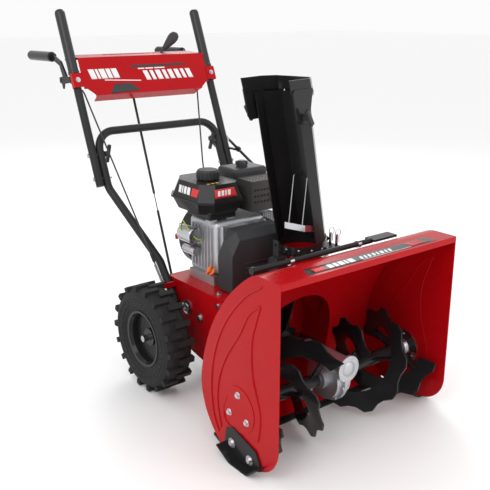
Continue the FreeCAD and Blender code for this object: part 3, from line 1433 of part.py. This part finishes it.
def main():
    """Builds every node and writes it to its own file."""
    os.makedirs("parts", exist_ok=True)
    all_bolts = bolts()
    for name, shape in (("housing_side", housing_panel()), ("auger_flight", auger_flight()),
                        ("clutch_lever", clutch_lever())):
        save_drilled(name + "_right", shape, all_bolts)
        save_drilled(name + "_left", mirrored(shape), all_bolts)
    for name, shape in (("gearbox_housing", gearbox_half()), ("lever_brackets", lever_bracket()),
                        ("skid_shoes", skid_shoe()), ("wheel_rims", wheel_rim()),
                        ("wheel_tyres", wheel_tyre()), ("upper_handles", upper_handle()),
                        ("grips", grip())):
        save_drilled(name, pair(shape), all_bolts)
    for make in (housing_wrap, impeller_drum, chute_neck, scraper_bar, shaft_bearings, bolts,
                 auger_shaft, impeller_shaft, impeller, drive_belts, belt_cover, chassis,
                 chassis_bottom_cover, drive_disc, hex_shaft, friction_wheel, axle,
                 engine_crankcase, engine_crankshaft, flywheel, cylinder_and_head,
                 blower_housing, recoil_handle, fuel_tank, fuel_cap, muffler, muffler_guard,
                 heater_box, carburettor, choke_knob, starter_motor, dipstick, engine_switch,
                 chute, chute_brace, chute_brackets, spring_clips, deflector, deflector_knobs,
                 lower_handle, wing_knobs, control_panel, speed_lever, speed_rod,
                 clutch_cables, cleanout_tool, chute_crank):
        save_drilled(make.__name__, make(), all_bolts)


main()
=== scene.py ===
"""Two stage snow blower: finishes, small parts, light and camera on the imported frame."""
import json
import math

import bmesh
import bpy
from mathutils import Matrix, Vector
from mathutils.bvhtree import BVHTree


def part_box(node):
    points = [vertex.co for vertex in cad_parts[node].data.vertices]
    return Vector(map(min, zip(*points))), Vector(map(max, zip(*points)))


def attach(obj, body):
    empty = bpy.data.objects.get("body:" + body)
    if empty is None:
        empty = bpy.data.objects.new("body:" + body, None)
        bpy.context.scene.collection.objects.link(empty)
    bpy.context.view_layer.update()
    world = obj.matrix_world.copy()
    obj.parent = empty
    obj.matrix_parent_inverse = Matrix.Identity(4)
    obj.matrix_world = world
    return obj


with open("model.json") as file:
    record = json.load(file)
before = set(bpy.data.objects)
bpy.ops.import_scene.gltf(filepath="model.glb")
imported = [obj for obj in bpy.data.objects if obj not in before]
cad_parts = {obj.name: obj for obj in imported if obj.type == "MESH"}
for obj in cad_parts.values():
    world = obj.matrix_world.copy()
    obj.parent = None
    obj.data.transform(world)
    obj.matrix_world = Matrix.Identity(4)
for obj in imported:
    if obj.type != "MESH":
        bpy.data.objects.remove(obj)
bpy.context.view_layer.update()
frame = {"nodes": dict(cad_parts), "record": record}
NODES = frame["nodes"]
JOINTS = {joint["name"]: joint for joint in frame["record"]["behaviour"]["joints"]}
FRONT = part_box("housing_wrap")[0].y     # the machine's front edge
MM = 0.001
INK_STEP = 0.35 * MM                    # each printed layer lies this much higher
INK_DEPTH = 0.2 * MM
INK_CELLS, INK_ROWS = 14, 4             # how finely a printed shape follows its surface
PANEL_LEAN = math.radians(22)           # the control panel's face, from upright

# ---- camera -------------------------------------------------------------------------
CAMERA_PLACE = Vector((-1.3128, -1.8616, 1.0818))
CAMERA_AHEAD = Vector((0.5871, 0.7537, -0.2955))
CAMERA_LENS = 55.65


def add_camera():
    """The photograph's viewpoint, level from side to side."""
    ahead = CAMERA_AHEAD.normalized()
    right = ahead.cross(Vector((0, 0, 1))).normalized()
    up = right.cross(ahead)
    data = bpy.data.cameras.new("camera")
    data.lens = CAMERA_LENS
    data.sensor_width = 36
    camera = bpy.data.objects.new("camera", data)
    turn = Matrix((right, up, -ahead)).transposed()
    camera.matrix_world = Matrix.Translation(CAMERA_PLACE) @ turn.to_4x4()
    bpy.context.scene.collection.objects.link(camera)
    bpy.context.scene.camera = camera


# ---- materials ----------------------------------------------------------------------
def new_material(name):
    """An empty node material: (material, nodes, links, principled shader)."""
    material = bpy.data.materials.new(name)
    material.use_nodes = True
    tree = material.node_tree
    return material, tree.nodes, tree.links, tree.nodes["Principled BSDF"]


def finish(name, light, dark, rough, grain, bump, metal=0.0, coat=0.0, shine=0.5,
           stretch=(1, 1, 1)):
    """A surface that varies in colour and roughness, with a fine grain.

    light and dark are the two ends of the colour, rough the two ends of the roughness,
    grain the fine noise's scale per metre, bump its strength and shine the mirror part."""
    material, nodes, links, shader = new_material(name)
    place = nodes.new("ShaderNodeTexCoord")
    spread = nodes.new("ShaderNodeMapping")
    spread.inputs["Scale"].default_value = stretch
    links.new(place.outputs["Object"], spread.inputs["Vector"])
    broad = nodes.new("ShaderNodeTexNoise")
    broad.inputs["Scale"].default_value = 9
    broad.inputs["Detail"].default_value = 5
    fine = nodes.new("ShaderNodeTexNoise")
    fine.inputs["Scale"].default_value = grain
    fine.inputs["Detail"].default_value = 3
    for noise in (broad, fine):
        links.new(spread.outputs["Vector"], noise.inputs["Vector"])
    colour = nodes.new("ShaderNodeMix")
    colour.data_type = "RGBA"
    colour.inputs["A"].default_value = (*light, 1)
    colour.inputs["B"].default_value = (*dark, 1)
    links.new(broad.outputs["Fac"], colour.inputs["Factor"])
    links.new(colour.outputs["Result"], shader.inputs["Base Color"])
    polish = nodes.new("ShaderNodeMapRange")
    polish.inputs["From Min"].default_value = 0.3
    polish.inputs["From Max"].default_value = 0.7
    polish.inputs["To Min"].default_value = rough[0]
    polish.inputs["To Max"].default_value = rough[1]
    links.new(fine.outputs["Fac"], polish.inputs["Value"])
    links.new(polish.outputs["Result"], shader.inputs["Roughness"])
    relief = nodes.new("ShaderNodeBump")
    relief.inputs["Strength"].default_value = bump
    relief.inputs["Distance"].default_value = 0.0004
    links.new(fine.outputs["Fac"], relief.inputs["Height"])
    links.new(relief.outputs["Normal"], shader.inputs["Normal"])
    shader.inputs["Metallic"].default_value = metal
    shader.inputs["Specular IOR Level"].default_value = shine
    shader.inputs["Coat Weight"].default_value = coat
    shader.inputs["Coat Roughness"].default_value = 0.06
    return material


RED = finish("red_enamel", (0.46, 0.003, 0.006), (0.38, 0.002, 0.005), (0.20, 0.32),
             600, 0.05, coat=0.08, shine=0.12)
BLACK = finish("black_enamel", (0.012, 0.012, 0.013), (0.020, 0.020, 0.021), (0.16, 0.28),
               500, 0.06, coat=0.10, shine=0.16)
SATIN = finish("satin_black", (0.012, 0.012, 0.013), (0.024, 0.024, 0.026), (0.34, 0.48),
               900, 0.25, shine=0.25)
PLASTIC = finish("moulded_plastic", (0.022, 0.022, 0.024), (0.040, 0.040, 0.044),
                 (0.42, 0.58), 2200, 0.5, shine=0.35)
RUBBER = finish("grip_rubber", (0.010, 0.010, 0.010), (0.022, 0.022, 0.022), (0.30, 0.46),
                1400, 0.3)
TYRE = finish("tyre_rubber", (0.014, 0.014, 0.015), (0.030, 0.029, 0.028), (0.62, 0.82),
              1100, 0.6, shine=0.22)
CASTING = finish("die_cast_aluminium", (0.62, 0.63, 0.65), (0.42, 0.43, 0.45), (0.34, 0.52),
                 900, 0.7, metal=0.85)
STEEL = finish("zinc_plated_steel", (0.66, 0.66, 0.68), (0.48, 0.48, 0.51), (0.18, 0.34),
               700, 0.15, metal=1.0)
TURNED = finish("turned_steel", (0.52, 0.52, 0.53), (0.36, 0.36, 0.38), (0.22, 0.40),
                240, 0.2, metal=1.0, stretch=(8, 1, 8))
IRON = finish("cast_iron", (0.10, 0.10, 0.10), (0.05, 0.05, 0.05), (0.55, 0.75), 500, 0.8,
              metal=0.6)
SOOTY = finish("heat_black", (0.030, 0.029, 0.028), (0.060, 0.056, 0.052), (0.55, 0.75),
               700, 0.6)
ORANGE = finish("orange_plastic", (0.85, 0.17, 0.01), (0.70, 0.12, 0.01), (0.30, 0.42),
                1500, 0.2)
RED_PLASTIC = finish("red_plastic", (0.70, 0.02, 0.02), (0.55, 0.01, 0.01), (0.30, 0.42),
                     1500, 0.2)
WHITE_INK = finish("white_ink", (0.85, 0.85, 0.85), (0.74, 0.74, 0.74), (0.30, 0.40), 900, 0.1)
BLACK_INK = finish("black_ink", (0.020, 0.020, 0.022), (0.034, 0.034, 0.036), (0.26, 0.36),
                   900, 0.1)
YELLOW_INK = finish("yellow_ink", (0.85, 0.52, 0.02), (0.72, 0.42, 0.02), (0.30, 0.40),
                    900, 0.1)
LIME_WIRE = finish("lime_wire", (0.42, 0.62, 0.03), (0.30, 0.48, 0.02), (0.34, 0.46),
                   1200, 0.2)

FINISH_OF = [
    (RED, ("housing_side_right", "housing_side_left", "housing_wrap", "impeller_drum",
           "chute_neck", "chassis", "control_panel")),
    (BLACK, ("scraper_bar", "skid_shoes", "auger_flight_right", "auger_flight_left",
             "impeller", "chute", "deflector", "fuel_tank", "wheel_rims",
             "chassis_bottom_cover", "clutch_lever_right", "clutch_lever_left",
             "chute_crank", "cleanout_tool")),
    (SATIN, ("lower_handle", "upper_handles", "lever_brackets", "chute_brackets",
             "speed_rod", "blower_housing")),
    (PLASTIC, ("belt_cover", "heater_box", "wing_knobs", "deflector_knobs", "fuel_cap",
               "recoil_handle", "choke_knob", "speed_lever")),
    (RUBBER, ("grips", "drive_belts", "clutch_cables", "friction_wheel")),
    (TYRE, ("wheel_tyres",)),
    (CASTING, ("gearbox_housing", "engine_crankcase", "cylinder_and_head", "drive_disc",
               "carburettor")),
    (STEEL, ("bolts", "spring_clips", "chute_brace", "starter_motor", "shaft_bearings")),
    (TURNED, ("auger_shaft", "impeller_shaft", "axle", "hex_shaft", "engine_crankshaft")),
    (IRON, ("flywheel",)),
    (SOOTY, ("muffler", "muffler_guard")),
    (ORANGE, ("dipstick",)),
    (RED_PLASTIC, ("engine_switch",)),
]


def dress(thing, material):
    """Gives an object one material all over."""
    thing.data.materials.clear()
    thing.data.materials.append(material)


def soften(thing, width):
    """Rounds an object's sharp edges a little, so that they catch the light."""
    bevel = thing.modifiers.new("edges", "BEVEL")
    bevel.width = width
    bevel.segments = 2
    bevel.limit_method = "ANGLE"
    bevel.angle_limit = math.radians(40)
    bevel.harden_normals = True


def dress_nodes():
    """Every CAD node gets its finish and slightly rounded edges."""
    for material, names in FINISH_OF:
        for name in names:
            dress(NODES[name], material)
            soften(NODES[name], 0.0006)


# ---- building blocks ----------------------------------------------------------------
def spot(x, y, z):
    """The place x mm left of the middle, y mm behind the front edge and z mm up."""
    return Vector((x * MM, FRONT + y * MM, z * MM))


def piece(name, mesh, material, body, smooth=True):
    """Adds a mesh as a piece of the machine."""
    data = bpy.data.meshes.new(name)
    mesh.to_mesh(data)
    mesh.free()
    if smooth:
        data.shade_smooth()
    thing = bpy.data.objects.new(name, data)
    bpy.context.scene.collection.objects.link(thing)
    dress(thing, material)
    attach(thing, body)
    return thing


def thicken(thing, depth):
    """Gives a sheet a thickness."""
    solid = thing.modifiers.new("thickness", "SOLIDIFY")
    solid.thickness = depth
    solid.offset = 0
    return thing


def through(points, steps=10):
    """A smooth path through the points."""
    ends = [2 * points[0] - points[1]] + list(points) + [2 * points[-1] - points[-2]]
    path = []
    for a, b, c, d in zip(ends, ends[1:], ends[2:], ends[3:]):
        for k in range(steps):
            t = k / steps
            path.append(b + 0.5 * t * ((c - a) + t * ((2 * a - 5 * b + 4 * c - d)
                                                      + t * (3 * b - a - 3 * c + d))))
    return path + [points[-1]]


def sweep(mesh, path, radius, sides=10, ends=1.0):
    """Adds a round tube along a path; ends scales its radius at the two tips."""
    rings = []
    side = None
    for k, point in enumerate(path):
        along = (path[min(k + 1, len(path) - 1)] - path[max(k - 1, 0)]).normalized()
        if side is None:
            side = along.orthogonal().normalized()
        side = (side - along * side.dot(along)).normalized()
        other = along.cross(side)
        size = radius * (ends if k in (0, len(path) - 1) else 1.0)
        rings.append([mesh.verts.new(point + size * (math.cos(angle) * side
                                                     + math.sin(angle) * other))
                      for angle in (2 * math.pi * j / sides for j in range(sides))])
    for low, high in zip(rings, rings[1:]):
        for j in range(sides):
            mesh.faces.new((low[j], low[j - 1], high[j - 1], high[j]))
    mesh.faces.new(rings[0])
    mesh.faces.new(list(reversed(rings[-1])))


def add_tubes(name, paths, radius, material, body, ends=1.0):
    """One piece made of several smooth tubes."""
    mesh = bmesh.new()
    for points in paths:
        sweep(mesh, through(points), radius, ends=ends)
    return piece(name, mesh, material, body)


def circle(centre, axis, radius, count=48):
    """The points of a closed circle, the first one repeated at the end."""
    first = axis.orthogonal().normalized()
    second = axis.cross(first)
    return [centre + radius * (math.cos(a) * first + math.sin(a) * second)
            for a in (2 * math.pi * k / count for k in range(count + 1))]


def helix(start, end, radius, turns, per_turn=12):
    """The points of a coil spring between two places."""
    along = end - start
    first = along.orthogonal().normalized()
    second = along.normalized().cross(first)
    total = turns * per_turn
    return [start + along * (k / total)
            + radius * (math.cos(2 * math.pi * k / per_turn) * first
                        + math.sin(2 * math.pi * k / per_turn) * second)
            for k in range(total + 1)]


def surface_of(node):
    """A CAD node's surface, to lay things on."""
    data = NODES[node].data
    return BVHTree.FromPolygons([v.co for v in data.vertices],
                                [p.vertices for p in data.polygons])


def meet(surface, start, aim):
    """(place, normal towards start) where a line first meets a surface.

    A line that runs exactly along an edge can slip through, so it is nudged and retried."""
    nudge = aim.orthogonal().normalized() * 0.01 * MM
    for _ in range(4):
        hit, normal, _, _ = surface.ray_cast(start, aim)
        if hit:
            return hit, normal if normal.dot(aim) < 0 else -normal
        start = start + nudge
    raise ValueError(f"nothing ahead of {tuple(start)}")


def add_print(name, node, face, quads, material, level, body="machine"):
    """Thin printed shapes laid on a node.

    face is (origin, across, up, aim); each quad's corners are (across, up) in mm."""
    origin, across, up, aim = face
    surface = surface_of(node)
    mesh = bmesh.new()
    for quad in quads:
        grid = []
        for j in range(INK_ROWS + 1):
            row = []
            for i in range(INK_CELLS + 1):
                s, t = i / INK_CELLS, j / INK_ROWS
                low = Vector(quad[0]).lerp(Vector(quad[1]), s)
                high = Vector(quad[3]).lerp(Vector(quad[2]), s)
                a, b = low.lerp(high, t)
                hit, facing = meet(surface, origin + (across * a + up * b) * MM, aim)
                row.append(mesh.verts.new(hit + facing * INK_STEP * level))
            grid.append(row)
        for low, high in zip(grid, grid[1:]):
            for i in range(INK_CELLS):
                mesh.faces.new((low[i], low[i + 1], high[i + 1], high[i]))
    return thicken(piece(name, mesh, material, body), INK_DEPTH)


def add_domes(name, node, shots, radius, material, body):
    """Rivet heads where the shots, (from, aim), meet a node's surface."""
    surface = surface_of(node)
    mesh = bmesh.new()
    for start, aim in shots:
        hit, facing = meet(surface, start, aim)
        turn = facing.to_track_quat("Z", "Y").to_matrix().to_4x4()
        squash = Matrix.Diagonal((1, 1, 0.45, 1))
        bmesh.ops.create_uvsphere(mesh, u_segments=14, v_segments=8, radius=radius,
                                  matrix=Matrix.Translation(hit) @ turn @ squash)
    return piece(name, mesh, material, body)


# ---- pressed beads of the auger housing ---------------------------------------------
LEAF = ((67, 444), (110, 408), (146, 346), (195, 275), (228, 205), (238, 132), (222, 60))
LEAF_FRONT = ((67, 444), (84, 396), (98, 349), (100, 298), (94, 247), (78, 202), (66, 156),
              (74, 88))
SEAT_ARC = ((149, 80), (184, 82), (207, 96), (210, 130), (193, 167))
BORDER = ((60, 492), (120, 452), (178, 392), (222, 326), (252, 250), (264, 170), (256, 92),
          (232, 44))


def add_side_beads():
    """The raised lines that stiffen each side panel."""
    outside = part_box("housing_side_right")[0].x + 1.5 * MM
    for name, x in (("right", outside), ("left", -outside)):
        paths = []
        for line in (LEAF, LEAF_FRONT, SEAT_ARC, BORDER):
            paths.append([Vector((x, FRONT + y * MM, z * MM)) for y, z in line])
        add_tubes("side_bead_" + name, paths, 3.4 * MM, RED, "machine",
                  ends=0.3)


# ---- printed panels -----------------------------------------------------------------
def slanted(start, widths, low, high, lean, gap=4):
    """Side by side slanted bars from a place across, as the corners of quads."""
    quads = []
    for width in widths:
        quads.append(((start, low), (start + width, low), (start + width + lean, high),
                      (start + lean, high)))
        start += width + gap
    return quads


def add_top_print():
    """The dark band with white and red bars on the housing's top plate."""
    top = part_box("housing_wrap")[1].z
    face = (Vector((0, FRONT, top + 0.1)), Vector((1, 0, 0)), Vector((0, 1, 0)),
            Vector((0, 0, -1)))
    add_print("top_band", "housing_wrap", face,
              [((-215, 10), (240, 10), (222, 46), (-197, 46))], BLACK_INK, 1)
    add_print("top_band_red", "housing_wrap", face,
              [((-186, 15), (-150, 15), (-146, 41), (-182, 41))]
              + slanted(150, (22, 14, 8), 15, 41, -10), RED_PLASTIC, 2)
    add_print("top_band_white", "housing_wrap", face,
              slanted(-140, (16, 12, 16, 8, 18), 16, 40, 6)
              + slanted(-34, (9, 7, 9, 9, 7, 11, 7, 9), 18, 36, 8, 6)
              + [((-34, 12), (140, 12), (140, 14), (-34, 14))], WHITE_INK, 2)


def add_panel_print():
    """White bars and dark patches on the control panel's face."""
    up = Vector((0, math.sin(PANEL_LEAN), math.cos(PANEL_LEAN)))
    aim = Vector((0, math.cos(PANEL_LEAN), -math.sin(PANEL_LEAN)))
    middle = spot(0, 1010, 884) - aim * 0.2
    face = (middle, Vector((-1, 0, 0)), up, aim)
    add_print("panel_dark", "control_panel", face,
              [((40, -42), (150, -48), (128, -16), (66, -18))]
              + [((-150, 34), (60, 34), (52, 42), (-150, 42))], BLACK_INK, 1)
    add_print("panel_white", "control_panel", face,
              slanted(104, (20, 15, 20, 9, 20), 2, 34, 8)
              + slanted(-176, (18, 13, 17, 17, 13, 19, 13, 17), -10, 22, 10, 8)
              + slanted(-70, (40, 30, 24), 27, 31, 0)
              + [((30, -12), (160, -4), (160, -1), (30, -9))], WHITE_INK, 2)


def add_slot_scale():
    """Ticks for the speeds along the lever's slot."""
    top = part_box("control_panel")[1].z
    face = (Vector((0, 0, top + 0.1)), Vector((1, 0, 0)), Vector((0, 1, 0)),
            Vector((0, 0, -1)))
    front = (spot(0, 1097, 0).y) / MM
    quads = []
    for k in range(9):
        x = -108 + 27 * k
        length = 5 + 7 * abs(k - 3) / 5
        quads.append(((x, front), (x + 3, front), (x + 3, front + length),
                      (x, front + length)))
    add_print("speed_scale", "control_panel", face, quads, WHITE_INK, 1)


def add_tank_print():
    """A red patch with white bars on the tank's side and one on its front."""
    side = (spot(-300, 0, 0), Vector((0, 1, 0)), Vector((0, 0, 1)), Vector((1, 0, 0)))
    add_print("tank_side_red", "fuel_tank", side,
              [((574, 571), (606, 571), (606, 594), (574, 594))], RED_PLASTIC, 1)
    add_print("tank_side_white", "fuel_tank", side,
              slanted(612, (15, 12, 6, 13), 572, 593, 3), WHITE_INK, 1)
    front = (spot(0, 400, 0), Vector((1, 0, 0)), Vector((0, 0, 1)), Vector((0, 1, 0)))
    add_print("tank_front_red", "fuel_tank", front,
              [((-92, 570), (-14, 570), (-20, 595), (-88, 595))], RED_PLASTIC, 1)
    add_print("tank_front_white", "fuel_tank", front,
              slanted(-82, (9, 9, 5, 10), 575, 590, 3), WHITE_INK, 2)
    top = (spot(0, 0, 700), Vector((1, 0, 0)), Vector((0, 1, 0)), Vector((0, 0, -1)))
    add_print("tank_top_yellow", "fuel_tank", top,
              slanted(-96, (10, 10, 10), 566, 574, 0, 5), YELLOW_INK, 1)


# ---- tyres, wires and other small parts ----------------------------------------------
def add_tyre_lines():
    """Moulded rings and short bars on the tyres' sidewalls."""
    low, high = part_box("wheel_tyres")
    centre_y, centre_z = (low.y + high.y) / 2, (low.z + high.z) / 2
    reach = (high.z - low.z) / 2
    surface = surface_of("wheel_tyres")
    mesh = bmesh.new()
    for side in (-1, 1):
        outside = Vector((side * (high.x + 0.05), centre_y, centre_z))
        inward = Vector((-side, 0, 0))
        for share in (0.60, 0.66, 0.76):
            ring = []
            for point in circle(outside, Vector((1, 0, 0)), reach * share, 72):
                ring.append(meet(surface, point, inward)[0])
            sweep(mesh, ring, 1.5 * MM, sides=6)
        for k in range(36):
            angle = 2 * math.pi * k / 36
            out = Vector((0, math.cos(angle), math.sin(angle)))
            bar = [meet(surface, outside + out * reach * share, inward)[0]
                   for share in (0.69, 0.71, 0.73)]
            sweep(mesh, bar, 1.6 * MM, sides=6)
    piece("tyre_sidewall_lines", mesh, TYRE, "axle")


CABLE_ENDS = (("right", (-190, 668.1, 292), (-226, 1056, 842)),
              ("left", (66, 752, 308.1), (84, 850, 610)))
SPRING_FROM, SPRING_TO, FERRULE_FROM = 12, 72, 78       # mm up from a cable's end
SPRING_R, SPRING_WIRE, SPRING_TURNS = 5, 0.9, 14


def add_cable_fittings():
    """Return springs and ferrules where the two control cables end."""
    for name, end, above in CABLE_ENDS:
        low = spot(*end)
        along = (spot(*above) - low).normalized() * MM
        spring = bmesh.new()
        coil = helix(low + along * SPRING_FROM, low + along * SPRING_TO, SPRING_R * MM,
                     SPRING_TURNS)
        sweep(spring, coil, SPRING_WIRE * MM, sides=6)
        piece("cable_spring_" + name, spring, STEEL, "machine")
        ferrule = bmesh.new()
        path = [low + along * (FERRULE_FROM + step) for step in (0, 4, 26, 30)]
        sweep(ferrule, path, 4.2 * MM, sides=14, ends=0.7)
        piece("cable_ferrule_" + name, ferrule, SATIN, "machine")


SWITCH_LEADS = (((-112, 655, 470), (-134, 640, 492), (-140, 610, 478), (-128, 590, 450),
                 (-108, 584, 440)),
                ((-112, 662, 466), (-138, 655, 480), (-146, 628, 462), (-132, 600, 436),
                 (-108, 590, 430)))
PLUG_LEAD = ((159, 524, 420), (158, 506, 430), (140, 498, 452), (108, 520, 474),
             (90, 560, 486))


def add_wires():
    """The engine's leads, each fixed at both ends."""
    switch_paths = [[spot(*point) for point in lead] for lead in SWITCH_LEADS]
    add_tubes("switch_leads", switch_paths, 1.5 * MM, LIME_WIRE, "machine")
    add_tubes("plug_lead", [[spot(*point) for point in PLUG_LEAD]], 3.4 * MM, SATIN,
              "machine")


def add_chute_rivets():
    """Rivet heads round the chute's collar."""
    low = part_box("chute")[0]
    axis = Vector(JOINTS["chute_turn"]["pos_m"])
    shots = []
    for k in range(12):
        angle = 2 * math.pi * k / 12 + 0.2
        out = Vector((math.cos(angle), math.sin(angle), 0))
        shots.append((Vector((axis.x, axis.y, low.z + 0.0145)) + out * 0.2, -out))
    add_domes("collar_rivets", "chute", shots, 3.2 * MM, STEEL, "chute")


def add_hinge_flap():
    """Strips on the deflector that close the gap over its hinge and at its corners."""
    hinge = JOINTS["deflector_tilt"]
    middle = Vector(hinge["pos_m"])
    along = Vector(hinge["axis"]).normalized()
    back = Vector((0, 0, 1)).cross(along)
    mesh = bmesh.new()

    def skin(rows):
        """Joins rows of (along, back, up) points, in mm from the hinge."""
        grid = [[mesh.verts.new(middle + (along * a + back * b + Vector((0, 0, c))) * MM)
                 for a, b, c in row] for row in rows]
        for low, high in zip(grid, grid[1:]):
            for k in range(len(low) - 1):
                mesh.faces.new((low[k], low[k + 1], high[k + 1], high[k]))

    arc = [(6.0 * math.cos(a), 6.0 * math.sin(a))
           for a in (math.radians(180 - 12 * k) for k in range(8))]
    outline = arc + [(-1.5, 7.5), (-3.0, 9.5)]
    skin([[(a, b, c) for b, c in outline] for a in (-32.5, 32.5)])
    for side in (-1, 1):
        corner = ((76.1, -43.9), (55.0, -3.5), (37.5, -3.3))
        skin([[(side * a, b, c) for a, b in corner] for c in (-0.5, 9.5)])
    thicken(piece("hinge_flap", mesh, BLACK, "deflector", smooth=False), 0.6 * MM)


def add_gearbox_cap():
    """Screw heads and a domed plug on the front of the gearbox."""
    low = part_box("gearbox_housing")[0]
    centre = Vector((0, low.y - 0.1, JOINTS["impeller_spin"]["pos_m"][2]))
    ahead = Vector((0, 1, 0))
    shots = []
    for k in range(6):
        angle = 2 * math.pi * k / 6 + 0.3
        shots.append((centre + Vector((math.cos(angle), 0, math.sin(angle))) * 29.5 * MM,
                      ahead))
    add_domes("gearbox_screws", "gearbox_housing", shots, 4.4 * MM, STEEL, "machine")
    plug = bmesh.new()
    bmesh.ops.create_uvsphere(plug, u_segments=32, v_segments=12, radius=21 * MM)
    for vert in plug.verts:
        vert.co = Vector((vert.co.x, vert.co.y * 0.3, vert.co.z))
        vert.co += Vector((0, low.y + 1 * MM, centre.z))
    piece("gearbox_plug", plug, CASTING, "machine")


def add_belt_cover_ribs():
    """Moulded ribs across the belt cover's front."""
    low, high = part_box("belt_cover")
    surface = surface_of("belt_cover")
    paths = []
    for share in (0.30, 0.38, 0.46):
        z = low.z + (high.z - low.z) * share
        line = []
        for k in range(7):
            x = low.x + (high.x - low.x) * (0.22 + 0.56 * k / 6)
            line.append(meet(surface, Vector((x, low.y - 0.1, z)), Vector((0, 1, 0)))[0])
        paths.append(line)
    add_tubes("belt_cover_ribs", paths, 2.2 * MM, PLASTIC, "machine", ends=0.3)


# ---- floor and light ----------------------------------------------------------------
def add_floor():
    """A pale floor with a faint shine."""
    mesh = bpy.data.meshes.new("floor")
    reach = 30
    corners = [(-reach, -reach, 0), (reach, -reach, 0), (reach, reach, 0), (-reach, reach, 0)]
    mesh.from_pydata(corners, [], [(0, 1, 2, 3)])
    floor = bpy.data.objects.new("floor", mesh)
    bpy.context.scene.collection.objects.link(floor)
    dress(floor, finish("floor", (0.97, 0.97, 0.97), (0.95, 0.95, 0.95), (0.45, 0.55),
                        40, 0.0))


def add_light(name, place, target, size, power):
    """A soft box that faces a point."""
    data = bpy.data.lights.new(name, "AREA")
    data.shape = "RECTANGLE"
    data.size, data.size_y = size
    data.energy = power
    light = bpy.data.objects.new(name, data)
    light.location = place
    aim = Vector(target) - Vector(place)
    light.rotation_euler = aim.to_track_quat("-Z", "Y").to_euler()
    bpy.context.scene.collection.objects.link(light)


def add_lights():
    """White surroundings and three soft boxes."""
    scene = bpy.context.scene
    scene.view_settings.view_transform = "Standard"
    world = bpy.data.worlds.new("studio")
    world.use_nodes = True
    world.node_tree.nodes["Background"].inputs["Color"].default_value = (1, 1, 1, 1)
    world.node_tree.nodes["Background"].inputs["Strength"].default_value = 0.97
    scene.world = world
    add_light("key", (-2.4, -1.2, 2.6), (0, -0.2, 0.4), (1.6, 1.6), 26)
    add_light("front", (0.9, -3.2, 1.7), (0, -0.4, 0.3), (1.2, 1.8), 20)
    add_light("back", (1.8, 2.2, 2.4), (0, 0.2, 0.6), (1.4, 1.4), 28)


def main():
    """Dresses the frame, adds the small parts, and sets the stage."""
    add_camera()
    dress_nodes()
    add_side_beads()
    add_top_print()
    add_panel_print()
    add_slot_scale()
    add_tank_print()
    add_tyre_lines()
    add_cable_fittings()
    add_wires()
    add_chute_rivets()
    add_hinge_flap()
    add_gearbox_cap()
    add_belt_cover_ribs()
    add_floor()
    add_lights()


main()
